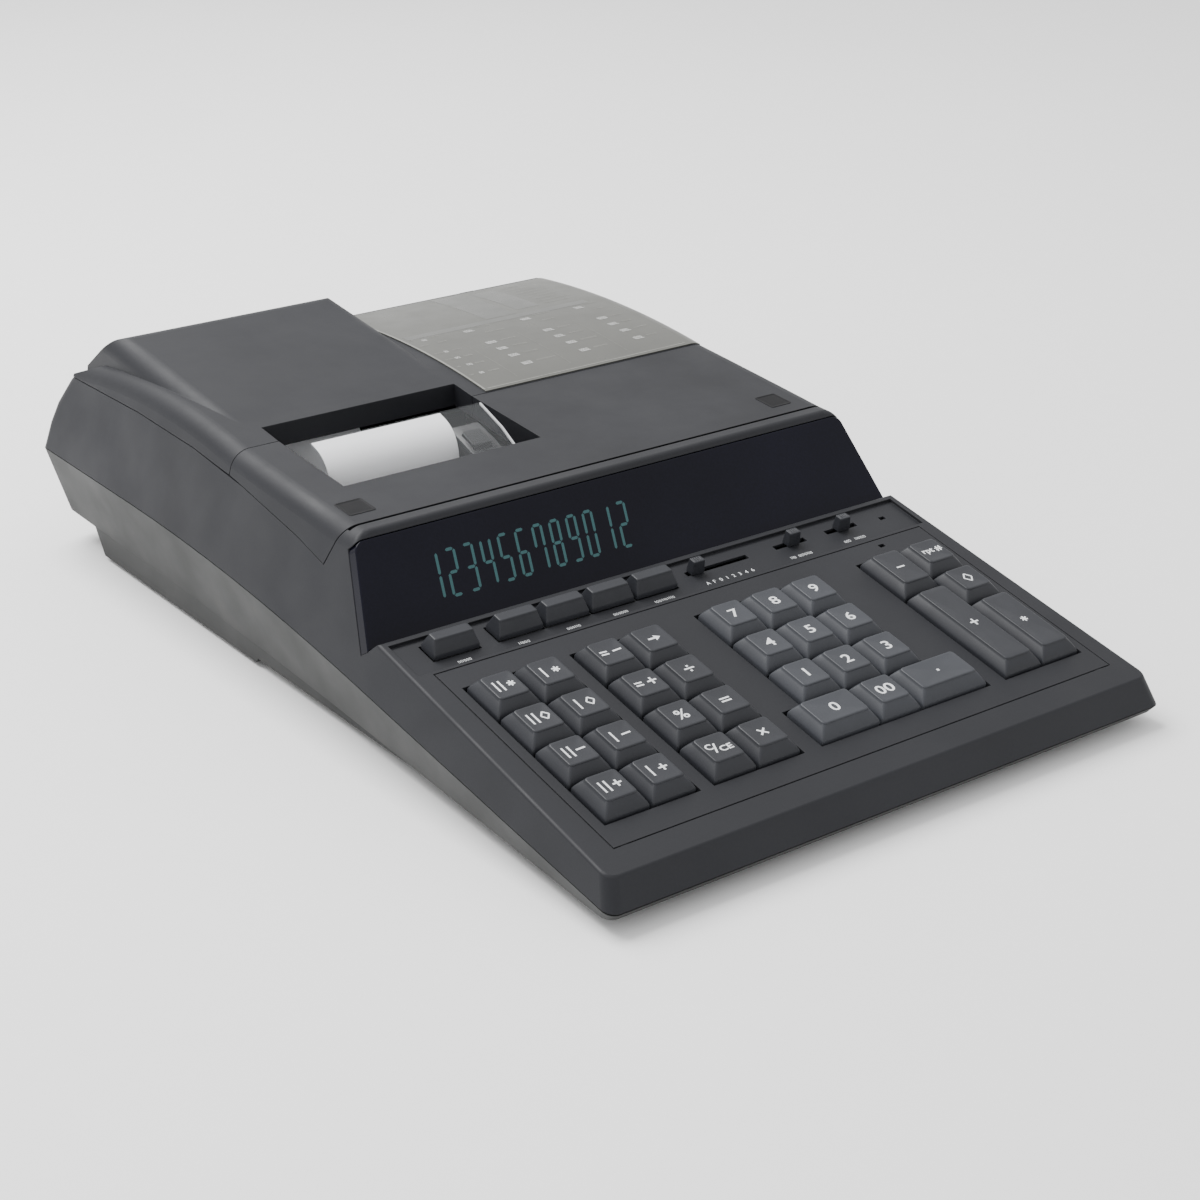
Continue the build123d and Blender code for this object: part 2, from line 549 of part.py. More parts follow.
def button_solid(x):
    """Low wide function button with a slanted front."""
    width, depth, height = BUTTON_SIZE
    cap = tapered_cap((x - width / 2, x + width / 2), (BUTTON_S - depth / 2, BUTTON_S + depth / 2),
                      -STRIP_DEPTH, 0.3, height, BUTTON_TAPER)
    stem = block((x - 2.5, x + 2.5), (BUTTON_S - 2.5, BUTTON_S + 2.5), (-STEM_REACH, -STRIP_DEPTH))
    return DECK.location * (cap + stem)


def switch_solid(x):
    """Slide switch knob on a thin blade through its slot."""
    knob = block((x - 2.9, x + 2.9), (SWITCH_S - 2, SWITCH_S + 2), (-STRIP_DEPTH + 0.3, 4.6))
    blade = SLOT_HALF_WIDTH - 0.25
    knob += block((x - 2.4, x + 2.4), (SWITCH_S - blade, SWITCH_S + blade), (-STEM_REACH, -STRIP_DEPTH + 0.3))
    return DECK.location * knob


def gear_profile(teeth, phase):
    """Straight-flanked gear outline in its own plane, first tooth at the phase angle."""
    pitch_radius = GEAR_MODULE * teeth / 2
    points = []
    for tooth in range(teeth):
        middle = phase + tooth * 2 * pi / teeth
        for radius, half in ((pitch_radius - 1.25, 0.30), (pitch_radius, 0.215), (pitch_radius + 0.9, 0.10),
                             (pitch_radius + 0.9, -0.10), (pitch_radius, -0.215), (pitch_radius - 1.25, -0.30)):
            angle = middle - half * 2 * pi / teeth
            points.append((radius * cos(angle), radius * sin(angle)))
    return points


def gear(centre, teeth, phase, x):
    """Gear on an axle along x, centred at (y, z)."""
    outline = Plane.YZ * make_face(Polyline(*gear_profile(teeth, phase), close=True))
    return Pos(x[0], *centre) * extrude(outline, x[1] - x[0])


def make_platen():
    """Rubber platen on its steel shaft with the drive gear outside the right side plate."""
    shaft = rod(PLATEN_CENTRE, SHAFT_RADIUS, (FRAME_X[0] - 3, FRAME_X[1] + 8))
    roller = rod(PLATEN_CENTRE, PLATEN_RADIUS, (FRAME_X[0] + 3, FRAME_X[1] - 3))
    wheel = gear(PLATEN_CENTRE, PLATEN_TEETH, -pi / 2, (FRAME_X[1] + 3, FRAME_X[1] + 8))
    return roller + shaft + wheel


def make_drive_gear():
    """Motor pinion on its shaft."""
    centre = drive_centre()
    pinion = gear(centre, DRIVE_TEETH, pi / 2 + pi / DRIVE_TEETH, (FRAME_X[1] + 3, FRAME_X[1] + 8))
    return pinion + rod(centre, 1.5, (FRAME_X[1] - 6, FRAME_X[1] + 8))


def drive_centre():
    """Motor axis, straight below the platen axis."""
    spacing = GEAR_MODULE * (PLATEN_TEETH + DRIVE_TEETH) / 2
    return (PLATEN_CENTRE[0], PLATEN_CENTRE[1] - spacing)


def make_printer_frame():
    """Two side plates on a base plate, guide rods, motor can and the roll spindle."""
    frame = block((FRAME_X[0], FRAME_X[1] + 2), (2, 62), (16, 18))
    motor = drive_centre()
    for x in (FRAME_X[0], FRAME_X[1]):
        side = block((x, x + 2), (2, 62), (18, 66))
        side -= rod(PLATEN_CENTRE, SHAFT_RADIUS + PIN_CLEARANCE, (x - 1, x + 3))
        side -= rod(motor, 1.5 + PIN_CLEARANCE, (x - 1, x + 3)) if x > -50 else []
        frame += side
    for centre in RODS:
        frame += rod(centre, ROD_RADIUS, (FRAME_X[0] + 2, FRAME_X[1]))
    can = rod(motor, 8.0, (FRAME_X[1] - 32, FRAME_X[1])) - rod(motor, 1.5 + PIN_CLEARANCE, (FRAME_X[1] - 8, FRAME_X[1]))
    can -= rod(PLATEN_CENTRE, PLATEN_RADIUS + 0.8, (FRAME_X[0], FRAME_X[1]))
    return frame + can


def make_roll_cradle():
    """Two uprights that hold the paper roll spindle."""
    y, z = ROLL_CENTRE
    cradle = rod(ROLL_CENTRE, SPINDLE_RADIUS, (PAPER_X - 38, PAPER_X + 38))
    for x in (PAPER_X - 38, PAPER_X + 36):
        cradle += block((x, x + 2), (y - 8, y + 8), (CRADLE_FLOOR, z + 8))
    return cradle


def make_carriage():
    """Print head carriage on the two guide rods."""
    carriage = block((-72, -50), (CARRIAGE_Y[0], CARRIAGE_Y[1]), (42, 64))
    for centre in RODS:
        carriage -= rod(centre, ROD_RADIUS + PIN_CLEARANCE, (-80, -40))
    return carriage


def make_paper_strip():
    """Paper from the roll, under and round the platen, up to the tear bar."""
    half = 0.15
    py, pz = PLATEN_CENTRE
    wrap = PLATEN_RADIUS + 0.45
    low = (py + 4, pz - wrap)
    start = (ROLL_CENTRE[0] - 4, ROLL_CENTRE[1] - ROLL_RADIUS - 0.7)
    line = Polyline(start, low, (py, pz - wrap))
    arc = ThreePointArc((py, pz - wrap), (py - wrap * cos(pi / 4), pz - wrap * sin(pi / 4)), (py - wrap, pz))
    rise = Spline([(py - wrap, pz), (py - wrap, pz + 14), (py - wrap + 2.6, pz + 24), (py - wrap + 7.4, pz + 28.2),
                   (py - wrap + 13, pz + 30.2)], tangents=[(0, 1), (0.94, 0.34)])
    path = Curve() + [line, arc, rise]
    ribbon = trace(path, line_width=2 * half)
    return Pos(PAPER_X - PAPER_WIDTH / 2, 0, 0) * extrude(Plane.YZ * ribbon, PAPER_WIDTH)


def make_boards():
    """Keyboard board under the keys and the main board with its transformer."""
    boards = on_deck((-106, 104), (0, 112), (-BOARD_DEPTH - 1.6, -BOARD_DEPTH))
    boards += block((12, 100), (20, 150), (12, 13.6))
    return boards + block((45, 95), (90, 135), (13.6, 55))


def make_display_module():
    """Vacuum fluorescent tube and its carrier board behind the window."""
    back = -WINDOW_THICK
    tube = on_display((-94, 7), (8, 31), (back - 6.8, back - 0.8))
    return tube + on_display((-98, 12), (5.5, 33), (back - 8.8, back - 6.8))


def make_screws():
    """Four case screws: pan heads and shanks."""
    group = []
    for x in (-SCREW_X, SCREW_X):
        for y in SCREW_Y:
            low = PAN_FRONT_BOTTOM if y < STEP_Y[0] else FLOOR_CLEAR
            seat = low + SCREW_HEAD
            head = Pos(x, y, seat - 2) * extrude(Circle(SCREW_HEAD_RADIUS), 2)
            slot = block((x - 2.4, x + 2.4), (y - 0.4, y + 0.4), (seat - 2.1, seat - 1.2))
            shank = Pos(x, y, seat) * extrude(Circle(SCREW_RADIUS), SCREW_JOINT_Z + SCREW_DEPTH - 1 - seat)
            group.append(head - slot + shank)
    return Compound(children=group)


def make_feet():
    """Six round rubber feet: two under the front, four under the rear base."""
    feet = []
    for x in (-98, 98):
        for y in (FRONT_Y + 16, STEP_Y[0] + 12, STEP_Y[1] - 14):
            top = FLOOR_CLEAR if y > 0 else PAN_FRONT_BOTTOM
            feet.append(Pos(x, y, 0) * extrude(Circle(6), top))
    return Compound(children=feet)


def make_rocker():
    """Rocker of the power switch on its two pins."""
    x = (ROCKER_X[0] + 0.5, ROCKER_X[1] - 0.5)
    low, high = ROCKER_Z[0] + ROCKER_CLEAR, ROCKER_Z[1] - ROCKER_CLEAR
    y, middle = ROCKER_PIVOT
    outline = [(y - 3.5, middle - 3), (REAR_Y - 4, low), (REAR_Y - 0.4, low), (REAR_Y - 1.6, middle),
               (REAR_Y - 0.4, high), (REAR_Y - 4, high), (y - 3.5, middle + 3)]
    return slab(outline, x) + rod(ROCKER_PIVOT, PIN_RADIUS, (ROCKER_X[0] - 2.5, ROCKER_X[1] + 2.5))


def make_inlet():
    """Two-pin power inlet, open to the rear."""
    x = (INLET_X[0] + 0.1, INLET_X[1] - 0.1)
    z = (INLET_Z[0] + 0.1, INLET_Z[1] - 0.1)
    body = block(x, (REAR_Y - 16, REAR_Y - 0.2), z)
    body -= block((x[0] + 1.6, x[1] - 1.6), (REAR_Y - 13, REAR_Y + 1), (z[0] + 1.6, z[1] - 1.6))
    centre = ((x[0] + x[1]) / 2, (z[0] + z[1]) / 2)
    for side in (-4.3, 4.3):
        body += Pos(centre[0] + side, REAR_Y - 13, centre[1]) * (Plane.XZ * extrude(Circle(1.2), -8))
    return body


def build():
    """Make every piece and write it."""
    os.makedirs("parts", exist_ok=True)
    save("top_case", add_top_case_details(make_top_case()))
    save("bottom_case", make_bottom_case())
    save("display_window", window_solid())
    save("display_module", make_display_module())
    save("front_cover", make_front_cover())
    save("rear_cover", make_rear_cover())
    save("instruction_plate", make_plate())
    save("tear_guide", make_tear_guide())
    roll = rod(ROLL_CENTRE, ROLL_RADIUS, (PAPER_X - PAPER_WIDTH / 2, PAPER_X + PAPER_WIDTH / 2))
    save("paper_roll", roll - rod(ROLL_CENTRE, SPINDLE_RADIUS + PIN_CLEARANCE, (-FAR, FAR)))
    save("paper_strip", make_paper_strip())
    save("platen_roller", make_platen())
    save("drive_gear", make_drive_gear())
    save("printer_frame", Compound(children=[make_printer_frame(), make_roll_cradle()]))
    save("print_carriage", make_carriage())
    save("circuit_boards", make_boards())
    save("power_switch", make_rocker())
    save("power_inlet", make_inlet())
    save("rubber_feet", make_feet())
    save("case_screws", make_screws())
    for cell, bounds in key_cells().items():
        save(KEY_NAMES[cell], key_solid(*bounds))
    for number, x in enumerate(BUTTON_X, start=1):
        save(f"function_button_{number}", button_solid(x))
    for name, (_, _, rest) in SWITCHES.items():
        save(f"slide_switch_{name}", switch_solid(rest))


build()
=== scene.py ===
import bpy
import json
import random
from math import cos, hypot, pi, radians, sin
from mathutils import Matrix, Vector


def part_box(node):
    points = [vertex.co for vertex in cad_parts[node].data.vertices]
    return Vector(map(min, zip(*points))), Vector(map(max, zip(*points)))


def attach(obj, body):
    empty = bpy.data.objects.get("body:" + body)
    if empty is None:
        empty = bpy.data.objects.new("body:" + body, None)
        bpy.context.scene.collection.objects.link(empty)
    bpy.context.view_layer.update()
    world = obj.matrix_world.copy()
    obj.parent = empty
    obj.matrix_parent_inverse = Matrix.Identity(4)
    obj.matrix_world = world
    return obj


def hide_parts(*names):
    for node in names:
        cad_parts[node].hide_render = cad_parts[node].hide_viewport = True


# Looks of the printing desk calculator. Lengths in this file are millimetres in the row frame
# unless a name says otherwise; they are scaled to metres when a mesh is made.
MM = 0.001

# keyboard deck: a point on it, its slope, and the key caps that stand on it
DECK_ORIGIN = (-173.0, 23.076)
DECK_SLOPE = radians(11.5)
CAP_HEIGHT = 4.9
CAP_TAPER = (2.8, 3.7, 2.1)       # inset of the top from the sides, front and rear
CAP_SINK = 3.0                    # how far the skirt goes on below the deck
CAP_DISH = 0.32
LEGEND_LIFT = 0.03
KEY_SHOULDER = 0.6                # a CAD key stands upright from its foot to its shoulder
KEY_FOOT = -0.8

# legend strip behind the keys: buttons, slide knobs, and where the tiny captions run
STRIP_DEPTH = 1.2
BUTTON_S = (100.5, 109.5)
BUTTON_HEIGHT = 5.4
BUTTON_TAPER = (1.4, 2.7, 1.6)
KNOB_S = (104.2, 108.2)
KNOB_HALF_WIDTH = 2.9
KNOB_HEIGHT = 4.6
KNOB_TAPER = (0.35, 0.25, 0.25)
BUTTON_CAPTIONS = ((-99.6, -94.6), (-74.2, -69.6), (-53.2, -48.2), (-32.6, -27.0), (-13.8, -4.6))
SWITCH_CAPTIONS = ((52.6, 55.0), (56.6, 63.0), (79.9, 82.2), (85.2, 89.8))
BUTTON_CAPTION_S = 96.4
SWITCH_CAPTION_S = 97.9
SCALE_TEXT = "AF012346"
SCALE_LEFT = 12.3
SCALE_PITCH = 3.05

# display front: its foot in the side view, its rise, and the twelve digits
DISPLAY_FOOT = (-55.0, 42.0)
DISPLAY_RISE = (22.6, 34.6)
DIGIT_LEFT = -87.2
DIGIT_PITCH = 7.615
DIGIT_SIZE = (3.7, 16.6)
DIGIT_BOTTOM = 10.7
DIGIT_LEAN = 0.122
DIGIT_STROKE = 1.15

# straight top of the front cover in the side view, and the dark inserts let into it
COVER_FRONT = (-26.0, 76.6)
COVER_SEAM = (51.0, 82.0)
INSERT_Y = (-19.0, -7.5)
INSERTS = (("cover_insert_left", (-105.5, -94.0)), ("cover_insert_right", (91.0, 101.5)))

# low side of the paper cover in the side view: three points of one arc, and the plate lying on it
ARCH = ((51.2, 82.0), (112.0, 86.3), (168.0, 83.0))
PLATE_THICK = 0.45
PLATE_ROWS = (93.3, 85.2, 76.7, 67.4)
PLATE_MARK_COLUMNS = (10.0, 31.9, 61.3, 89.7)
PLATE_CAPTION_COLUMNS = ((4.0, 8.0), (13.0, 19.0), (37.0, 46.0), (66.5, 75.0), (94.5, 102.0))

# main board: its underside and top, the chips (x, y, length, depth), the cans (x, y, radius, height)
BOARD_FACES = (12.0, 13.6)
CHIPS = ((62, 62, 38, 13), (30, 66, 20, 8), (30, 50, 20, 8), (70, 36, 26, 8))
CANS = ((24, 132, 6.5, 24), (24, 112, 5.0, 18), (38, 138, 4.0, 14), (20, 92, 3.2, 11), (92, 78, 3.2, 11))
LEG_PITCH = 2.54

# rocker faces meet at a waist and stand out toward their tips
ROCKER_WAIST = (198.4, 29.0)
ROCKER_HALF_HEIGHT = 7.6
ROCKER_TIP_OUT = 1.2

# feet and screws: distance from the centre line, and rows (y, height of the underside there)
FOOT_X = 98
FOOT_ROWS = ((-184.0, 4.0), (46.0, 2.0), (154.0, 2.0))
SCREW_X = 108.0
SCREW_ROWS = ((-180.0, 4.0), (140.0, 2.0))

# camera and lamp, in metres
CAMERA_LENS = 72.26
CAMERA_PLACE = (-0.5095, -0.7056, 0.3985)
CAMERA_FORWARD = (0.5481, 0.7305, -0.4075)
CAMERA_UP = (0.2394, 0.3298, 0.9132)
LAMP_PLACE = (-0.35, 0.75, 1.4)
LAMP_TARGET = (0, 0, 0.05)
LAMP_SIZE = (1.3, 0.9)
LAMP_POWER = 46
WORLD_STRENGTH = 1.15

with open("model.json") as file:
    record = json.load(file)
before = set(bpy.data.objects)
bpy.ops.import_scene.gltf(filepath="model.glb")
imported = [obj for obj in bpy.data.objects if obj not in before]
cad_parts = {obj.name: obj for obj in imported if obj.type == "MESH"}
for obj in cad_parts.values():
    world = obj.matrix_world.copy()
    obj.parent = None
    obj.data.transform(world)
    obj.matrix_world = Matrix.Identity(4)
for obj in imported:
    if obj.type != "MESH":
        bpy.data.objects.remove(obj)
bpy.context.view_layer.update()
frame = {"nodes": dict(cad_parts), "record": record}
rng = random.Random(11)


# ---------------------------------------------------------------- materials
def node(tree, kind, **settings):
    """New shader node; settings whose name is an input go on its socket."""
    made = tree.nodes.new(kind)
    for key, value in settings.items():
        socket = key.replace("_", " ")
        if socket in made.inputs:
            made.inputs[socket].default_value = value
        else:
            setattr(made, key, value)
    return made


def mapped_noise(tree, coords, scale, low, high, detail=3.0):
    """Noise in object space, spread between two values."""
    noise = node(tree, "ShaderNodeTexNoise", Scale=scale, Detail=detail)
    tree.links.new(coords, noise.inputs["Vector"])
    spread = node(tree, "ShaderNodeMapRange")
    spread.inputs["From Min"].default_value = 0.3
    spread.inputs["From Max"].default_value = 0.7
    spread.inputs["To Min"].default_value = low
    spread.inputs["To Max"].default_value = high
    tree.links.new(noise.outputs["Fac"], spread.inputs["Value"])
    return spread.outputs["Result"]


def surface(name, color, rough, grain_mm=0.45, relief=0.12, mottle=0.08, patch_mm=60.0,
            rough_spread=0.06, edge_mm=0.0, **sockets):
    """Moulded or printed surface: patchy tone, uneven gloss and a fine grain, all procedural."""
    material = bpy.data.materials.new(name)
    material.use_nodes = True
    tree = material.node_tree
    bsdf = tree.nodes["Principled BSDF"]
    for key, value in sockets.items():
        bsdf.inputs[key.replace("_", " ")].default_value = value
    coords = node(tree, "ShaderNodeTexCoord").outputs["Object"]
    tone = mapped_noise(tree, coords, 1000.0 / patch_mm, 1 - mottle, 1 + mottle)
    speck = mapped_noise(tree, coords, 1000.0 / (2.2 * grain_mm), 1 - mottle / 2, 1 + mottle / 2)
    product = node(tree, "ShaderNodeMath", operation="MULTIPLY")
    tree.links.new(tone, product.inputs[0])
    tree.links.new(speck, product.inputs[1])
    shade = node(tree, "ShaderNodeVectorMath", operation="SCALE")
    shade.inputs[0].default_value = color
    tree.links.new(product.outputs[0], shade.inputs["Scale"])
    tree.links.new(shade.outputs[0], bsdf.inputs["Base Color"])
    gloss = mapped_noise(tree, coords, 1000.0 / (patch_mm * 0.4), rough - rough_spread, rough + rough_spread)
    tree.links.new(gloss, bsdf.inputs["Roughness"])
    noise = node(tree, "ShaderNodeTexNoise", Scale=1000.0 / grain_mm, Detail=2.0)
    tree.links.new(coords, noise.inputs["Vector"])
    bump = node(tree, "ShaderNodeBump", Strength=relief, Distance=0.0001)
    tree.links.new(noise.outputs["Fac"], bump.inputs["Height"])
    if edge_mm:
        bevel = node(tree, "ShaderNodeBevel", samples=4, Radius=edge_mm * MM)
        tree.links.new(bevel.outputs["Normal"], bump.inputs["Normal"])
    tree.links.new(bump.outputs["Normal"], bsdf.inputs["Normal"])
    return material


SLOT_LOOKS = {
    "case_upper": surface("case_upper", (0.0155, 0.0161, 0.0192), 0.5, edge_mm=0.35, relief=0.22,
                          Specular_IOR_Level=0.22),
    "case_lower": surface("case_lower", (0.027, 0.028, 0.0275), 0.55, edge_mm=0.35, relief=0.22,
                          Specular_IOR_Level=0.27),
    "key_light": surface("key_light", (0.038, 0.0405, 0.0475), 0.44, grain_mm=0.3, relief=0.14, patch_mm=22.0,
                         Specular_IOR_Level=0.3),
    "key_dark": surface("key_dark", (0.0225, 0.0238, 0.0285), 0.44, grain_mm=0.3, relief=0.14, patch_mm=22.0,
                        Specular_IOR_Level=0.3),
    "window_black": surface("window_black", (0.0042, 0.0042, 0.0095), 0.14, relief=0.01, mottle=0.3,
                            patch_mm=90.0, rough_spread=0.04, Specular_IOR_Level=0.14),
    "tube_glass": surface("tube_glass", (0.02, 0.06, 0.06), 0.1, relief=0.02, rough_spread=0.03),
    "plate": surface("plate", (0.072, 0.0725, 0.0635), 0.33, grain_mm=0.2, relief=0.06, mottle=0.07,
                     patch_mm=30.0, edge_mm=0.2, Coat_Weight=0.25, Coat_Roughness=0.15),
    "clear_guide": surface("clear_guide", (0.6, 0.62, 0.64), 0.06, relief=0.02, mottle=0.02,
                           rough_spread=0.02, Alpha=0.035),
    "paper": surface("paper", (0.86, 0.865, 0.88), 0.85, grain_mm=0.25, relief=0.25, mottle=0.015),
    "roller_rubber": surface("roller_rubber", (0.018, 0.018, 0.019), 0.6, grain_mm=0.6, relief=0.3),
    "gear_white": surface("gear_white", (0.62, 0.61, 0.56), 0.4, grain_mm=0.5, relief=0.08),
    "frame_steel": surface("frame_steel", (0.45, 0.45, 0.46), 0.34, grain_mm=0.7, relief=0.1,
                           rough_spread=0.12, edge_mm=0.2, Metallic=1.0),
    "mechanism_black": surface("mechanism_black", (0.016, 0.016, 0.018), 0.45, relief=0.15, edge_mm=0.3),
    "board_green": surface("board_green", (0.02, 0.09, 0.045), 0.3, grain_mm=1.2, relief=0.1, mottle=0.2),
    "foot_rubber": surface("foot_rubber", (0.022, 0.022, 0.022), 0.75, grain_mm=0.6, relief=0.3),
}
INK = surface("ink_white", (0.72, 0.73, 0.74), 0.5, grain_mm=0.2, relief=0.1, mottle=0.04)
# fine ink: grey print of the tiny captions, and also the painted highlight on the clear guide's edges
FINE_INK_AND_GLINT = surface("fine_ink_and_glint", (0.5, 0.51, 0.52), 0.5, grain_mm=0.2, relief=0.1, mottle=0.04)
# plate ink: the plate's printing, and also the painted highlight along the plate's left edge
PLATE_INK_AND_HIGHLIGHT = surface("plate_ink_and_highlight", (0.2, 0.2, 0.185), 0.45, grain_mm=0.2, relief=0.1, mottle=0.12, patch_mm=8.0)
PLATE_BRIGHT = surface("plate_bright", (0.55, 0.55, 0.54), 0.4, grain_mm=0.2, relief=0.1, mottle=0.1,
                       patch_mm=6.0)
PLATE_TINT = surface("plate_tint", (0.102, 0.103, 0.097), 0.3, grain_mm=0.2, relief=0.06, mottle=0.08,
                     patch_mm=25.0)
DARK_INSERT = surface("dark_insert", (0.006, 0.006, 0.007), 0.5, grain_mm=0.4, relief=0.15,
                      Specular_IOR_Level=0.12)
MECHANISM = surface("mechanism_grey", (0.014, 0.0145, 0.016), 0.35, grain_mm=0.5, relief=0.12, edge_mm=0.3,
                    Specular_IOR_Level=0.3)
BRASS = surface("pin_brass", (0.62, 0.55, 0.36), 0.28, grain_mm=0.5, relief=0.06, Metallic=1.0)
COIL = surface("coil_tape", (0.36, 0.22, 0.035), 0.35, grain_mm=0.8, relief=0.12, mottle=0.15, patch_mm=12.0)
CHIP = surface("chip_black", (0.012, 0.012, 0.013), 0.45, grain_mm=0.3, relief=0.12)
GLOW = surface("digit_glow", (0.006, 0.036, 0.039), 0.3, relief=0.02, mottle=0.12, patch_mm=4.0,
               Emission_Color=(0.03, 0.23, 0.25, 1.0), Emission_Strength=0.2)

slot_of = {part["node"]: part["material_slot"] for part in frame["record"]["subparts"]}
body_of = {name: body for body, names in frame["record"]["behaviour"]["bodies"].items() for name in names}

for name, obj in frame["nodes"].items():
    obj.data.materials.clear()
    obj.data.materials.append(SLOT_LOOKS[slot_of[name]])


# ---------------------------------------------------------------- mesh helpers
def make_piece(name, shape, look, body="root"):
    """Mesh object of a shape, riding on a CAD body; its look is a material, or the name of a slot."""
    slot = look if isinstance(look, str) else None
    mesh = bpy.data.meshes.new(name)
    mesh.from_pydata([Vector(p) * MM for p in shape.points], [], shape.faces)
    mesh.materials.append(SLOT_LOOKS[slot] if slot else look)
    for polygon in mesh.polygons:
        polygon.use_smooth = True
    mesh.set_sharp_from_angle(angle=radians(35.0))
    obj = bpy.data.objects.new(name, mesh)
    bpy.context.scene.collection.objects.link(obj)
    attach(obj, body)
    return obj


class Shape:
    """Points and faces gathered for one piece, placed by a mapping from its own space."""

    def __init__(self, place=None):
        self.points = []
        self.faces = []
        self.place = place or (lambda p: p)

    def add(self, points, faces):
        start = len(self.points)
        self.points += [self.place(p) for p in points]
        self.faces += [tuple(start + i for i in face) for face in faces]

    def rings(self, rings, capped=True):
        """Skin over rings that all have the same number of points, closed at both ends when capped."""
        count = len(rings[0])
        points = [p for r in rings for p in r]
        faces = []
        for level in range(len(rings) - 1):
            for i in range(count):
                j = (i + 1) % count
                a = level * count
                faces.append((a + i, a + j, a + count + j, a + count + i))
        if capped:
            faces.append(tuple(reversed(range(count))))
            faces.append(tuple(range(len(points) - count, len(points))))
        self.add(points, faces)

    def lathe(self, centre, profile, axis="z", count=28, capped=True):
        """Turned solid about an axis through centre, from (radius, distance along the axis) pairs."""
        rings = []
        for radius, along in profile:
            ring = []
            for step in range(count):
                angle = 2 * pi * step / count
                a, b = radius * cos(angle), radius * sin(angle)
                offset = {"x": (along, a, b), "y": (a, along, b), "z": (a, b, along)}[axis]
                ring.append(tuple(c + d for c, d in zip(centre, offset)))
            rings.append(ring)
        self.rings(rings, capped)

    def side_block(self, x, outline, edge):
        """Side view outline (y, z) pulled across x, its two end faces drawn in by a small bevel."""
        cy = sum(p[0] for p in outline) / len(outline)
        cz = sum(p[1] for p in outline) / len(outline)
        rings = []
        for at, shrink in ((x[0], edge), (x[0] + edge, 0.0), (x[1] - edge, 0.0), (x[1], edge)):
            ring = []
            for y, z in outline:
                length = hypot(y - cy, z - cz)
                ring.append((at, y - (y - cy) / length * shrink, z - (z - cz) / length * shrink))
            rings.append(ring)
        self.rings(rings)


def middle(name):
    """Centre of a CAD node's box in millimetres."""
    low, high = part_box(name)
    return [(a + b) / 2 / MM for a, b in zip(low, high)]


def on_deck(p):
    """Deck coordinates (across, up the slope, out of the deck) to the row frame."""
    x, s, n = p
    return (x, DECK_ORIGIN[0] + s * cos(DECK_SLOPE) - n * sin(DECK_SLOPE),
            DECK_ORIGIN[1] + s * sin(DECK_SLOPE) + n * cos(DECK_SLOPE))


def on_display(p):
    """Display coordinates (across, up the face, out of it) to the row frame."""
    x, u, n = p
    length = hypot(*DISPLAY_RISE)
    dy, dz = DISPLAY_RISE[0] / length, DISPLAY_RISE[1] / length
    return (x, DISPLAY_FOOT[0] + u * dy - n * dz, DISPLAY_FOOT[1] + u * dz + n * dy)


def rounded_ring(x, s, n, radius, corner_points=5, side_points=5):
    """Rounded rectangle at one height, the same point count for every size."""
    radius = max(0.02, min(radius, (x[1] - x[0]) / 2 - 0.01, (s[1] - s[0]) / 2 - 0.01))
    centres = [(x[1] - radius, s[0] + radius, -90), (x[1] - radius, s[1] - radius, 0),
               (x[0] + radius, s[1] - radius, 90), (x[0] + radius, s[0] + radius, 180)]
    points = []
    for index, (cx, cs, start) in enumerate(centres):
        for step in range(corner_points):
            angle = radians(start + 90 * step / (corner_points - 1))
            points.append((cx + radius * cos(angle), cs + radius * sin(angle), n))
        nx, ns, angle = centres[(index + 1) % 4]
        last = points[-1]
        target = (nx + radius * cos(radians(angle)), ns + radius * sin(radians(angle)))
        for step in range(1, side_points):
            t = step / side_points
            points.append((last[0] + (target[0] - last[0]) * t, last[1] + (target[1] - last[1]) * t, n))
    return points


def cap_shape(x, s, low, height, taper, dish=CAP_DISH, edge=0.55, power=1.3, corner=(0.7, 1.3)):
    """Sculpted cap: skirt that curves in, rounded top edge and a dished top."""
    side, front, rear = taper
    shape = Shape(on_deck)
    rings = [rounded_ring(x, s, low, corner[0])]
    foot = 0.3
    for step in range(8):
        t = step / 7
        k = t ** power
        rings.append(rounded_ring((x[0] + side * k, x[1] - side * k), (s[0] + front * k, s[1] - rear * k),
                                  foot + (height - edge - foot) * t, corner[0] + (corner[1] - corner[0]) * t))
    top_x = (x[0] + side, x[1] - side)
    top_s = (s[0] + front, s[1] - rear)
    for step in range(1, 5):
        angle = radians(90 * step / 4)
        inset = edge * (1 - cos(angle))
        rings.append(rounded_ring((top_x[0] + inset, top_x[1] - inset), (top_s[0] + inset, top_s[1] - inset),
                                  height - edge + edge * sin(angle), corner[1]))
    centre = ((top_x[0] + top_x[1]) / 2, (top_s[0] + top_s[1]) / 2)
    rim = rings[-1]
    for scale in (0.9, 0.75, 0.58, 0.4, 0.2):
        sunk = dish * (1 - scale ** 2)
        rings.append([(centre[0] + (px - centre[0]) * scale, centre[1] + (ps - centre[1]) * scale,
                       height - sunk) for px, ps, _ in rim])
    shape.rings(rings)
    half = ((top_x[1] - top_x[0]) / 2 - edge, (top_s[1] - top_s[0]) / 2 - edge)
    return shape, centre, half


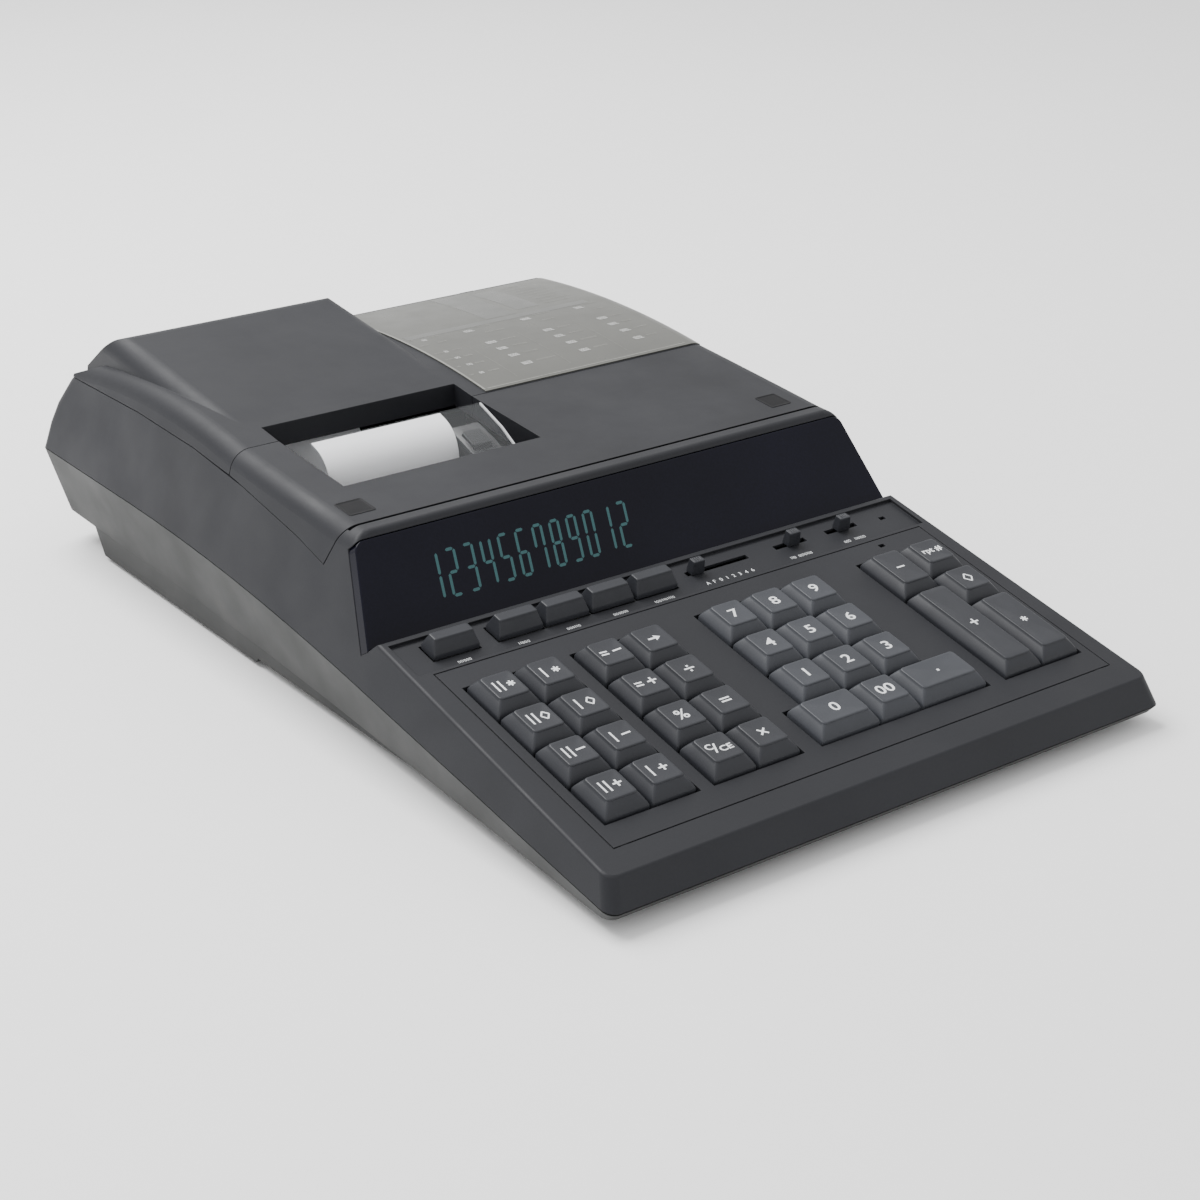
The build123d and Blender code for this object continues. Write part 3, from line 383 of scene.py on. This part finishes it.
def text_faces(body, height, stretch=1.0, bold=0.0):
    """Flat outline of generic characters, centred on zero, with the given height of a capital."""
    curve = bpy.data.curves.new("characters", "FONT")
    curve.body = body
    curve.align_x = "CENTER"
    curve.align_y = "CENTER"
    curve.size = height / 0.72    # a capital is 0.72 of the font's size
    curve.offset = bold
    curve.resolution_u = 3
    helper = bpy.data.objects.new("characters", curve)
    bpy.context.scene.collection.objects.link(helper)
    mesh = bpy.data.meshes.new_from_object(helper.evaluated_get(bpy.context.evaluated_depsgraph_get()))
    points = [(v.co.x, v.co.y) for v in mesh.vertices]
    faces = [tuple(p.vertices) for p in mesh.polygons]
    bpy.data.objects.remove(helper)
    bpy.data.curves.remove(curve)
    bpy.data.meshes.remove(mesh)
    xs = [p[0] for p in points]
    ys = [p[1] for p in points]
    mx, my = (min(xs) + max(xs)) / 2, (min(ys) + max(ys)) / 2
    return [((px - mx) * stretch, py - my) for px, py in points], faces


def bar(a, b, width):
    """Flat bar between two points."""
    dx, dy = b[0] - a[0], b[1] - a[1]
    length = hypot(dx, dy)
    ox, oy = -dy / length * width / 2, dx / length * width / 2
    corners = [(a[0] + ox, a[1] + oy), (b[0] + ox, b[1] + oy), (b[0] - ox, b[1] - oy), (a[0] - ox, a[1] - oy)]
    return corners, [(3, 2, 1, 0)]


def outline_bars(corners, width):
    """Closed outline of flat bars."""
    return [bar(a, b, width) for a, b in zip(corners, corners[1:] + corners[:1])]


def symbol(kind, at=(0.0, 0.0), size=3.6, width=0.75):
    """Generic key symbols made of bars."""
    x, y = at
    h = size / 2
    if kind == "bar":
        return [bar((x, y - h), (x, y + h), width)]
    if kind == "minus":
        return [bar((x - h, y), (x + h, y), width)]
    if kind == "plus":
        return [bar((x - h, y), (x + h, y), width), bar((x, y - h), (x, y + h), width)]
    if kind == "times":
        k = h * 0.8
        return [bar((x - k, y - k), (x + k, y + k), width), bar((x - k, y + k), (x + k, y - k), width)]
    if kind == "equals":
        return [bar((x - h, y + up), (x + h, y + up), width) for up in (-0.75, 0.75)]
    if kind == "divide":
        dot = width * 1.15
        dots = [bar((x - dot / 2, y + up), (x + dot / 2, y + up), dot) for up in (1.45, -1.45)]
        return [bar((x - h, y), (x + h, y), width)] + dots
    if kind == "diamond":
        corners = [(x - h * 0.85, y), (x, y - h * 1.1), (x + h * 0.85, y), (x, y + h * 1.1)]
        return outline_bars(corners, width * 0.8)
    if kind == "star":
        arms = [(cos(radians(a)), sin(radians(a))) for a in (90, 30, -30)]
        return [bar((x - h * c, y - h * s), (x + h * c, y + h * s), width * 0.9) for c, s in arms]
    if kind == "arrow":
        return [bar((x - h, y), (x + h * 0.5, y), width * 1.2),
                ([(x + h * 0.1, y - h * 0.6), (x + h, y), (x + h * 0.1, y + h * 0.6)], [(0, 1, 2)])]
    if kind == "dot":
        return [bar((x - width * 0.7, y), (x + width * 0.7, y), width * 1.4)]
    raise ValueError(kind)


def flat_marks(name, marks, place, material, body="root"):
    """One thin printed piece from a list of flat outlines, laid on a surface by place."""
    shape = Shape(place)
    for points, faces in marks:
        shape.add(points, faces)
    make_piece(name, shape, material, body)


def shifted(mark, dx, dy):
    """One mark moved in its own plane."""
    points, faces = mark
    return [(px + dx, py + dy) for px, py in points], faces


# ---------------------------------------------------------------- keys
ONE_BAR = [("bar", (-2.9, 0), 5.6)]
TWO_BARS = [("bar", (-3.4, 0), 5.6), ("bar", (-1.2, 0), 5.6)]
LEGENDS = {
    "key_memory_two_plus": TWO_BARS + [("plus", (2.5, 0), 3.4)],
    "key_memory_one_plus": ONE_BAR + [("plus", (2.1, 0), 3.4)],
    "key_memory_two_minus": TWO_BARS + [("minus", (2.5, 0), 3.6)],
    "key_memory_one_minus": ONE_BAR + [("minus", (2.1, 0), 3.6)],
    "key_memory_two_subtotal": TWO_BARS + [("diamond", (2.5, 0), 3.7)],
    "key_memory_one_subtotal": ONE_BAR + [("diamond", (2.1, 0), 3.7)],
    "key_memory_two_total": TWO_BARS + [("star", (2.5, 0), 3.0)],
    "key_memory_one_total": ONE_BAR + [("star", (2.1, 0), 3.0)],
    "key_multiply": [("times", (0, 0), 3.8)],
    "key_equals": [("equals", (0, 0), 4.2)],
    "key_equals_plus": [("equals", (-2.8, 0), 3.2), ("plus", (2.6, 0), 3.7)],
    "key_divide": [("divide", (0, 0), 4.2)],
    "key_equals_minus": [("equals", (-2.8, 0), 3.2), ("minus", (2.6, 0), 3.6)],
    "key_feed": [("arrow", (0, 0), 5.2)],
    "key_plus": [("plus", (0, 0), 3.8)],
    "key_minus": [("minus", (0, 0), 3.8)],
    "key_total": [("star", (0, 0), 3.0)],
    "key_subtotal": [("diamond", (0, 0), 4.4)],
    "key_point": [("dot", (0, 0), 1.2)],
}


def key_text(name):
    """Characters of the keys that carry text: (text, offset, height, stretch)."""
    if name == "key_percent":
        return [("%", (0, 0), 5.0, 1.05)]
    if name == "key_clear":
        return [("C", (-3.4, 1.2), 2.9, 1.1), ("/", (-1.5, 0), 4.6, 1.3), ("CE", (2.2, -1.2), 2.7, 1.15)]
    if name == "key_repeat":
        return [("rpt", (-1.6, 0), 3.0, 1.1), ("#", (3.6, 0.2), 3.1, 1.1)]
    digits = name.removeprefix("key_")
    return [(digits, (0, 0), 4.6, 1.25)] if digits.isdigit() else []


def cell_of(name):
    """Cap footprint on the deck from the box of a CAD key: across, and up the slope."""
    low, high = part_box(name)
    s0 = (low.y / MM - DECK_ORIGIN[0] + KEY_SHOULDER * sin(DECK_SLOPE)) / cos(DECK_SLOPE)
    s1 = (high.y / MM - DECK_ORIGIN[0] + KEY_FOOT * sin(DECK_SLOPE)) / cos(DECK_SLOPE)
    return (low.x / MM, high.x / MM), (s0, s1)


for name in sorted(n for n in frame["nodes"] if n.startswith("key_")):
    x, s = cell_of(name)
    shape, centre, half = cap_shape(x, s, -CAP_SINK, CAP_HEIGHT, CAP_TAPER)
    cap = make_piece(name + "_cap", shape, slot_of[name], body_of[name])
    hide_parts(name)
    marks = []
    for kind, offset, size in LEGENDS.get(name, []):
        marks += symbol(kind, offset, size)
    for characters, offset, height, stretch in key_text(name):
        marks.append(shifted(text_faces(characters, height, stretch, 0.09), *offset))

    def on_top(p, centre=centre, half=half):
        """On the dished top of this key."""
        reach = max(abs(p[0]) / half[0], abs(p[1]) / half[1])
        sunk = CAP_DISH * (1 - min(reach, 1.0) ** 2)
        return on_deck((centre[0] + p[0], centre[1] + p[1], CAP_HEIGHT - sunk + LEGEND_LIFT))

    flat_marks(name + "_legend", marks, on_top, INK, body_of[name])

# ---------------------------------------------------------------- function buttons and slide switches
for name in sorted(n for n in frame["nodes"] if n.startswith("function_button_")):
    low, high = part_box(name)
    x = (low.x / MM, high.x / MM)
    shape, _, _ = cap_shape(x, BUTTON_S, -STRIP_DEPTH, BUTTON_HEIGHT, BUTTON_TAPER, dish=0.0,
                            edge=0.5, power=1.0, corner=(0.6, 0.8))
    button = make_piece(name + "_cap", shape, "key_dark", body_of[name])
    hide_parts(name)

for name in sorted(n for n in frame["nodes"] if n.startswith("slide_switch_")):
    mid_x = middle(name)[0]
    x = (mid_x - KNOB_HALF_WIDTH, mid_x + KNOB_HALF_WIDTH)
    shape, _, _ = cap_shape(x, KNOB_S, -STRIP_DEPTH + 0.3, KNOB_HEIGHT, KNOB_TAPER, dish=0.25,
                            edge=0.35, power=1.0, corner=(0.4, 0.5))
    for offset in (-1.5, -0.5, 0.5, 1.5):
        ridge = []
        for n, w in ((4.2, 0.28), (4.5, 0.24), (KNOB_HEIGHT, 0.12)):
            ridge.append(rounded_ring((mid_x + offset - w, mid_x + offset + w), (104.9, 107.5), n, 0.1, 3, 2))
        shape.rings(ridge)
    knob = make_piece(name + "_knob", shape, "key_dark", body_of[name])
    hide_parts(name)


# ---------------------------------------------------------------- captions along the strip
def strip_place(p):
    """On the floor of the legend strip."""
    return on_deck((p[0], p[1], -STRIP_DEPTH + LEGEND_LIFT))


def caption(x0, x1, s, tall):
    """A tiny caption, too small to be words: a run of small round and upright strokes."""
    marks = []
    x = x0
    while x < x1:
        wide = rng.uniform(0.7, 1.1)
        kind = rng.choice(("stem", "loop", "loop"))
        if kind == "stem":
            marks.append(bar((x + 0.2, s - tall / 2), (x + 0.2, s + tall / 2), 0.28))
            x += 0.75
        else:
            low, high, right = s - tall / 2, s + tall * 0.3, x + wide * 0.7
            marks += outline_bars([(x, low), (right, low), (right, high), (x, high)], 0.24)
            x += wide + 0.25
    return marks


strip_marks = []
for x0, x1 in BUTTON_CAPTIONS:
    strip_marks += caption(x0, x1, BUTTON_CAPTION_S, 1.3)
for x0, x1 in SWITCH_CAPTIONS:
    strip_marks += caption(x0, x1, SWITCH_CAPTION_S, 1.5)
flat_marks("strip_captions", strip_marks, strip_place, FINE_INK_AND_GLINT)
scale_marks = [shifted(text_faces(character, 1.9), SCALE_LEFT + SCALE_PITCH * index, SWITCH_CAPTION_S)
               for index, character in enumerate(SCALE_TEXT)]
flat_marks("decimal_scale", scale_marks, strip_place, INK)

# ---------------------------------------------------------------- display digits
SEGMENTS = {
    "top": ((0, 2), (1, 2)), "upper_left": ((0, 2), (0, 1)), "upper_right": ((1, 2), (1, 1)),
    "middle": ((0, 1), (1, 1)), "lower_left": ((0, 1), (0, 0)), "lower_right": ((1, 1), (1, 0)),
    "bottom": ((0, 0), (1, 0)),
}
LIT = {
    "1": "upper_right lower_right",
    "2": "top upper_right middle lower_left bottom",
    "3": "top upper_right middle lower_right bottom",
    "4": "upper_left upper_right middle lower_right",
    "5": "top upper_left middle lower_right bottom",
    "6": "top upper_left middle lower_left lower_right bottom",
    "7": "top upper_left upper_right lower_right",
    "8": "top upper_left upper_right middle lower_left lower_right bottom",
    "9": "top upper_left upper_right middle lower_right bottom",
    "0": "top upper_left upper_right lower_left lower_right bottom",
}


def segment(a, b, width):
    """Pointed bar of one lit segment."""
    dx, dy = b[0] - a[0], b[1] - a[1]
    length = hypot(dx, dy)
    dx, dy = dx / length, dy / length
    gap = width * 0.18
    tip = width / 2
    points = []
    for along, off in ((gap, 0), (gap + tip, tip), (length - gap - tip, tip), (length - gap, 0),
                       (length - gap - tip, -tip), (gap + tip, -tip)):
        points.append((a[0] + dx * along - dy * off, a[1] + dy * along + dx * off))
    return points, [tuple(range(6))]


digit_marks = []
width, tall = DIGIT_SIZE
for index, digit in enumerate("123456789012"):
    for key in LIT[digit].split():
        (ax, ay), (bx, by) = SEGMENTS[key]
        left = DIGIT_LEFT + index * DIGIT_PITCH
        a = (left + ax * width, DIGIT_BOTTOM + ay * tall / 2)
        b = (left + bx * width, DIGIT_BOTTOM + by * tall / 2)
        points, faces = segment(a, b, DIGIT_STROKE)
        lean = [(px + (py - DIGIT_BOTTOM - tall) * DIGIT_LEAN, py) for px, py in points]
        digit_marks.append((lean, faces))
flat_marks("display_digits", digit_marks, lambda p: on_display((p[0], p[1], 0.04)), GLOW)


# ---------------------------------------------------------------- small fittings on the covers
def cover_top(y):
    """Height of the front cover's top at y."""
    rise = COVER_SEAM[1] - COVER_FRONT[1]
    return COVER_FRONT[1] + (y - COVER_FRONT[0]) * rise / (COVER_SEAM[0] - COVER_FRONT[0])


for name, x in INSERTS:
    shape = Shape()
    rings = []
    for inset, lift in ((0.0, -0.4), (0.0, 0.05), (0.2, 0.14), (0.5, 0.14), (0.7, 0.03), (1.6, 0.03)):
        y = (INSERT_Y[0] + inset, INSERT_Y[1] - inset)
        ring = rounded_ring((x[0] + inset, x[1] - inset), y, 0.0, max(1.2 - inset, 0.3))
        rings.append([(px, py, cover_top(py) + lift) for px, py, _ in ring])
    shape.rings(rings)
    make_piece(name, shape, DARK_INSERT)


# ---------------------------------------------------------------- printing on the instruction plate, and a painted highlight along its left edge
def arch_height(y):
    """Height of the circle through the three arch points at y."""
    (ay, az), (by, bz), (cy, cz) = ARCH
    twice = 2 * (ay * (bz - cz) + by * (cz - az) + cy * (az - bz))
    a2, b2, c2 = ay * ay + az * az, by * by + bz * bz, cy * cy + cz * cz
    centre_y = (a2 * (bz - cz) + b2 * (cz - az) + c2 * (az - bz)) / twice
    centre_z = (a2 * (cy - by) + b2 * (ay - cy) + c2 * (by - ay)) / twice
    radius = hypot(ay - centre_y, az - centre_z)
    return centre_z + (radius ** 2 - (y - centre_y) ** 2) ** 0.5


def on_plate(lift):
    """Placing on the plate, lift above its face."""
    return lambda p: (p[0], p[1], arch_height(p[1]) + PLATE_THICK + lift)


def panel(x, y):
    """Flat rectangle as one mark."""
    return [(x[0], y[0]), (x[1], y[0]), (x[1], y[1]), (x[0], y[1])], [(0, 1, 2, 3)]


plate_panels = []
for step in range(11):
    plate_panels.append(panel((47.0, 62.5), (119.0 + 4 * step, 123.0 + 4 * step)))
    if 1 <= step < 10:
        plate_panels.append(panel((66.0, 78.0), (119.0 + 4 * step, 123.0 + 4 * step)))
plate_panels.append(panel((4.0, 98.0), (113.4, 115.7)))
plate_panels.append(panel((4.0, 98.0), (115.7, 118.0)))
flat_marks("plate_panels", plate_panels, on_plate(0.03), PLATE_TINT, "rear_cover")
plate_lines_and_edge_highlight = [bar((3.0, 53.6), (104.0, 53.6), 0.5)]
# painted highlight: the light bars along x = 1.6 stand in for the glint on the plate's left edge; the other
# lines are print
for step in range(22):
    plate_lines_and_edge_highlight.append(bar((1.6, 53.2 + 5 * step), (1.6, 58.2 + 5 * step), 0.9))
for x in (20.5, 48.0, 77.0):
    for step in range(8):
        plate_lines_and_edge_highlight.append(bar((x, 58.0 + 5 * step), (x, 63.0 + 5 * step), 0.14))
for y in (112.5, 104.5) + PLATE_ROWS:
    for x0, x1 in PLATE_CAPTION_COLUMNS:
        plate_lines_and_edge_highlight += caption(x0, x1 - rng.uniform(0, 3), y, 1.1)
for line in range(9):
    y = 158.0 - 4.2 * line
    plate_lines_and_edge_highlight += caption(82.0, 99.0 - rng.uniform(0, 6), y, 0.9)
flat_marks("plate_print_with_edge_highlight", plate_lines_and_edge_highlight, on_plate(0.05), PLATE_INK_AND_HIGHLIGHT, "rear_cover")
plate_keys = []
for x in PLATE_MARK_COLUMNS:
    narrow = x == PLATE_MARK_COLUMNS[0]
    wide = 1.2 if narrow else 2.3
    for y in (110.2,) + PLATE_ROWS:
        plate_keys += caption(x - wide, x + wide - 0.6, y, 1.9)
        if not narrow:
            plate_keys.append(bar((x - wide, y - 1.5), (x + wide, y - 1.5), 0.35))
flat_marks("plate_key_marks", plate_keys, on_plate(0.07), PLATE_BRIGHT, "rear_cover")

# ---------------------------------------------------------------- inside the paper bay
shape = Shape()
shape.side_block((-32.6, -19.0), [(6.5, 66.6), (30.0, 66.6), (30.0, 79.5), (27.5, 80.8), (18.0, 78.6),
                                  (9.0, 74.8), (6.5, 73.2)], 0.8)
shape.side_block((-31.0, -22.5), [(12.0, 76.0), (22.0, 79.0), (21.0, 81.0), (13.0, 78.2)], 0.5)
make_piece("ribbon_shield", shape, MECHANISM)
# painted highlight: thin light grey strips on the edges of the clear guide stand in for the glint on those
# edges
shape = Shape()
shape.side_block((-33.4, -27.5), [(5.2, 74.0), (6.6, 74.8), (6.6, 76.2), (5.2, 75.4)], 0.2)
shape.side_block((-16.9, -16.1), [(4.6, 72.0), (5.4, 72.0), (5.4, 76.0), (15.4, 81.6), (29.8, 86.8),
                                  (29.8, 87.5), (15.0, 82.2), (4.6, 76.4)], 0.1)
make_piece("guide_edge_glints", shape, FINE_INK_AND_GLINT)

# ---------------------------------------------------------------- electronics seen with the cover open
shape = Shape()
board_low, board_top = BOARD_FACES
board_levels = (board_low, 12.1, 13.5, board_top)
shape.rings([rounded_ring((12.0, 100.0), (20.0, 150.0), z, 2.0) for z in board_levels])
boards = make_piece("printed_boards", shape, "board_green")
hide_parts("circuit_boards")
shape = Shape(on_deck)
shape.rings([rounded_ring((-106.0, 104.0), (0.0, 112.0), n, 2.0) for n in (-14.8, -14.7, -13.3, -13.2)])
make_piece("keyboard_board", shape, "board_green")
shape = Shape()
rings = []
for layer in range(22):
    inset = 0.0 if layer % 2 else 0.25
    z = 20.0 + layer * 1.1
    for up in (0.0, 0.9):
        rings.append(rounded_ring((45.5 + inset, 94.5 - inset), (90.5 + inset, 134.5 - inset), z + up, 1.0))
shape.rings(rings)
make_piece("transformer_core", shape, "frame_steel")
shape = Shape()
shape.rings([rounded_ring((54.0 + i, 86.0 - i), (96.0 + i, 129.0 - i), z, 5.0)
             for z, i in ((13.8, 1.0), (14.6, 0.0), (53.6, 0.0), (54.6, 1.0))])
make_piece("transformer_coil", shape, COIL)
shape = Shape()
for x, y, r, tall in CANS:
    profile = [(r - 0.4, board_top), (r, 14.0), (r, 15.2), (r - 0.35, 15.6), (r, 16.0), (r, 13.2 + tall),
               (r - 0.6, board_top + tall), (r * 0.55, 13.4 + tall)]
    shape.lathe((x, y, 0), profile, count=24)
for x, y, w, d in CHIPS:
    shape.rings([rounded_ring((x - w / 2 + i, x + w / 2 - i), (y - d / 2 + i, y + d / 2 - i), z, 0.4)
                 for z, i in ((14.2, 0.3), (15.4, 0.0), (16.6, 0.3), (16.9, 0.9))])
make_piece("board_parts", shape, CHIP)
shape = Shape()
for x, y, w, d in CHIPS:
    count = int(w / LEG_PITCH)
    for k in range(count):
        px = x - (count - 1) * LEG_PITCH / 2 + LEG_PITCH * k
        for side in (-1, 1):
            py = y + side * (d / 2 + 0.5)
            shape.rings([rounded_ring((px - 0.25, px + 0.25), (py - 0.6, py + 0.6), z, 0.1, 3, 2)
                         for z in (board_top, 15.2, 15.5)])
make_piece("chip_legs", shape, "frame_steel")

# ---------------------------------------------------------------- rear fittings
shape = Shape()
mid_x, _, mid_z = middle("power_inlet")
for side in (-4.3, 4.3):
    shape.lathe((mid_x + side, 0, mid_z), [(1.26, 187.2), (1.26, 194.0), (1.1, 194.9), (0.7, 195.1)], "y", 20)
make_piece("inlet_pins", shape, BRASS)
rocker_x = middle("power_switch")[0]
rocker_print = [bar((rocker_x - 2.2, 33.4), (rocker_x + 2.2, 33.4), 0.7)]
rocker_print += outline_bars([(rocker_x + 1.6 * cos(2 * pi * k / 16), 24.6 + 1.6 * sin(2 * pi * k / 16))
                              for k in range(16)], 0.5)


def rocker_place(p):
    """On the two faces of the rocker, which meet at its waist."""
    x, z = p
    waist_y, waist_z = ROCKER_WAIST
    return (x, waist_y + abs(z - waist_z) / ROCKER_HALF_HEIGHT * ROCKER_TIP_OUT + 0.05, z)


flat_marks("rocker_marks", rocker_print, rocker_place, INK, "power_switch")

# ---------------------------------------------------------------- feet and screws
shape = Shape()
for x in (-FOOT_X, FOOT_X):
    for y, top in FOOT_ROWS:
        shape.lathe((x, y, 0), [(3.0, 0.25), (4.6, 0.0), (5.4, 0.12), (5.85, 0.5), (6.0, 1.0), (6.0, top)])
feet = make_piece("domed_feet", shape, "foot_rubber")
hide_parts("rubber_feet")

shape = Shape()
for x in (-SCREW_X, SCREW_X):
    for y, low in SCREW_ROWS:
        seat = low + 2.2
        shape.lathe((x, y, 0), [(0.4, seat - 1.0), (1.0, seat - 1.1), (1.3, seat - 1.95), (2.2, seat - 1.8),
                                (2.8, seat - 1.3), (3.0, seat - 0.6), (3.0, seat), (1.5, seat),
                                (1.5, seat + 12.0)])
screws = make_piece("pan_screws", shape, "frame_steel")
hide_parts("case_screws")

# ---------------------------------------------------------------- paper roll with its hollow core
shape = Shape()
low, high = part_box("paper_roll")
width = (high.x - low.x) / MM
outer = (high.y - low.y) / 2 / MM
turns = [(8.2 + turn * (outer - 8.6) / 14, turn % 2) for turn in range(14)]
profile = [(5.1, 0.6), (8.0, 0.6), (8.0, 0.25)]
profile += [(r, 0.12 + 0.14 * odd) for r, odd in turns]
profile += [(outer - 0.3, 0.1), (outer, 0.4), (outer, width - 0.4), (outer - 0.3, width - 0.1)]
profile += [(r, width - 0.12 - 0.14 * odd) for r, odd in reversed(turns)]
profile += [(8.0, width - 0.25), (8.0, width - 0.6), (5.1, width - 0.6)]
shape.lathe([low.x / MM] + middle("paper_roll")[1:], profile + profile[:1], "x", 64, capped=False)
roll = make_piece("wound_roll", shape, "paper", "paper_roll")
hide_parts("paper_roll")

# ---------------------------------------------------------------- camera, floor and light
camera = bpy.data.objects.new("camera", bpy.data.cameras.new("camera"))
camera.data.lens = CAMERA_LENS
camera.data.sensor_width = 36
camera.data.clip_start = 0.01
camera.data.clip_end = 50
forward = Vector(CAMERA_FORWARD).normalized()
right = forward.cross(Vector(CAMERA_UP)).normalized()
turn = Matrix((right, right.cross(forward), -forward)).transposed()
camera.matrix_world = Matrix.Translation(CAMERA_PLACE) @ turn.to_4x4()
bpy.context.scene.collection.objects.link(camera)
bpy.context.scene.camera = camera

bpy.ops.mesh.primitive_plane_add(size=8, location=(0, 0, 0))
floor = bpy.context.object
floor.name = "floor"
floor.data.materials.append(surface("floor", (0.93, 0.93, 0.93), 0.6, grain_mm=6.0, relief=0.03,
                                    mottle=0.01, patch_mm=900.0))

world = bpy.data.worlds.new("studio")
bpy.context.scene.world = world
world.use_nodes = True
world.node_tree.nodes["Background"].inputs["Color"].default_value = (1, 1, 1, 1)
world.node_tree.nodes["Background"].inputs["Strength"].default_value = WORLD_STRENGTH

lamp = bpy.data.lights.new("overhead", "AREA")
lamp.shape = "RECTANGLE"
lamp.size, lamp.size_y = LAMP_SIZE
lamp.energy = LAMP_POWER
overhead = bpy.data.objects.new("overhead", lamp)
overhead.location = LAMP_PLACE
overhead.rotation_euler = (Vector(LAMP_TARGET) - Vector(LAMP_PLACE)).to_track_quat("-Z", "Y").to_euler()
bpy.context.scene.collection.objects.link(overhead)
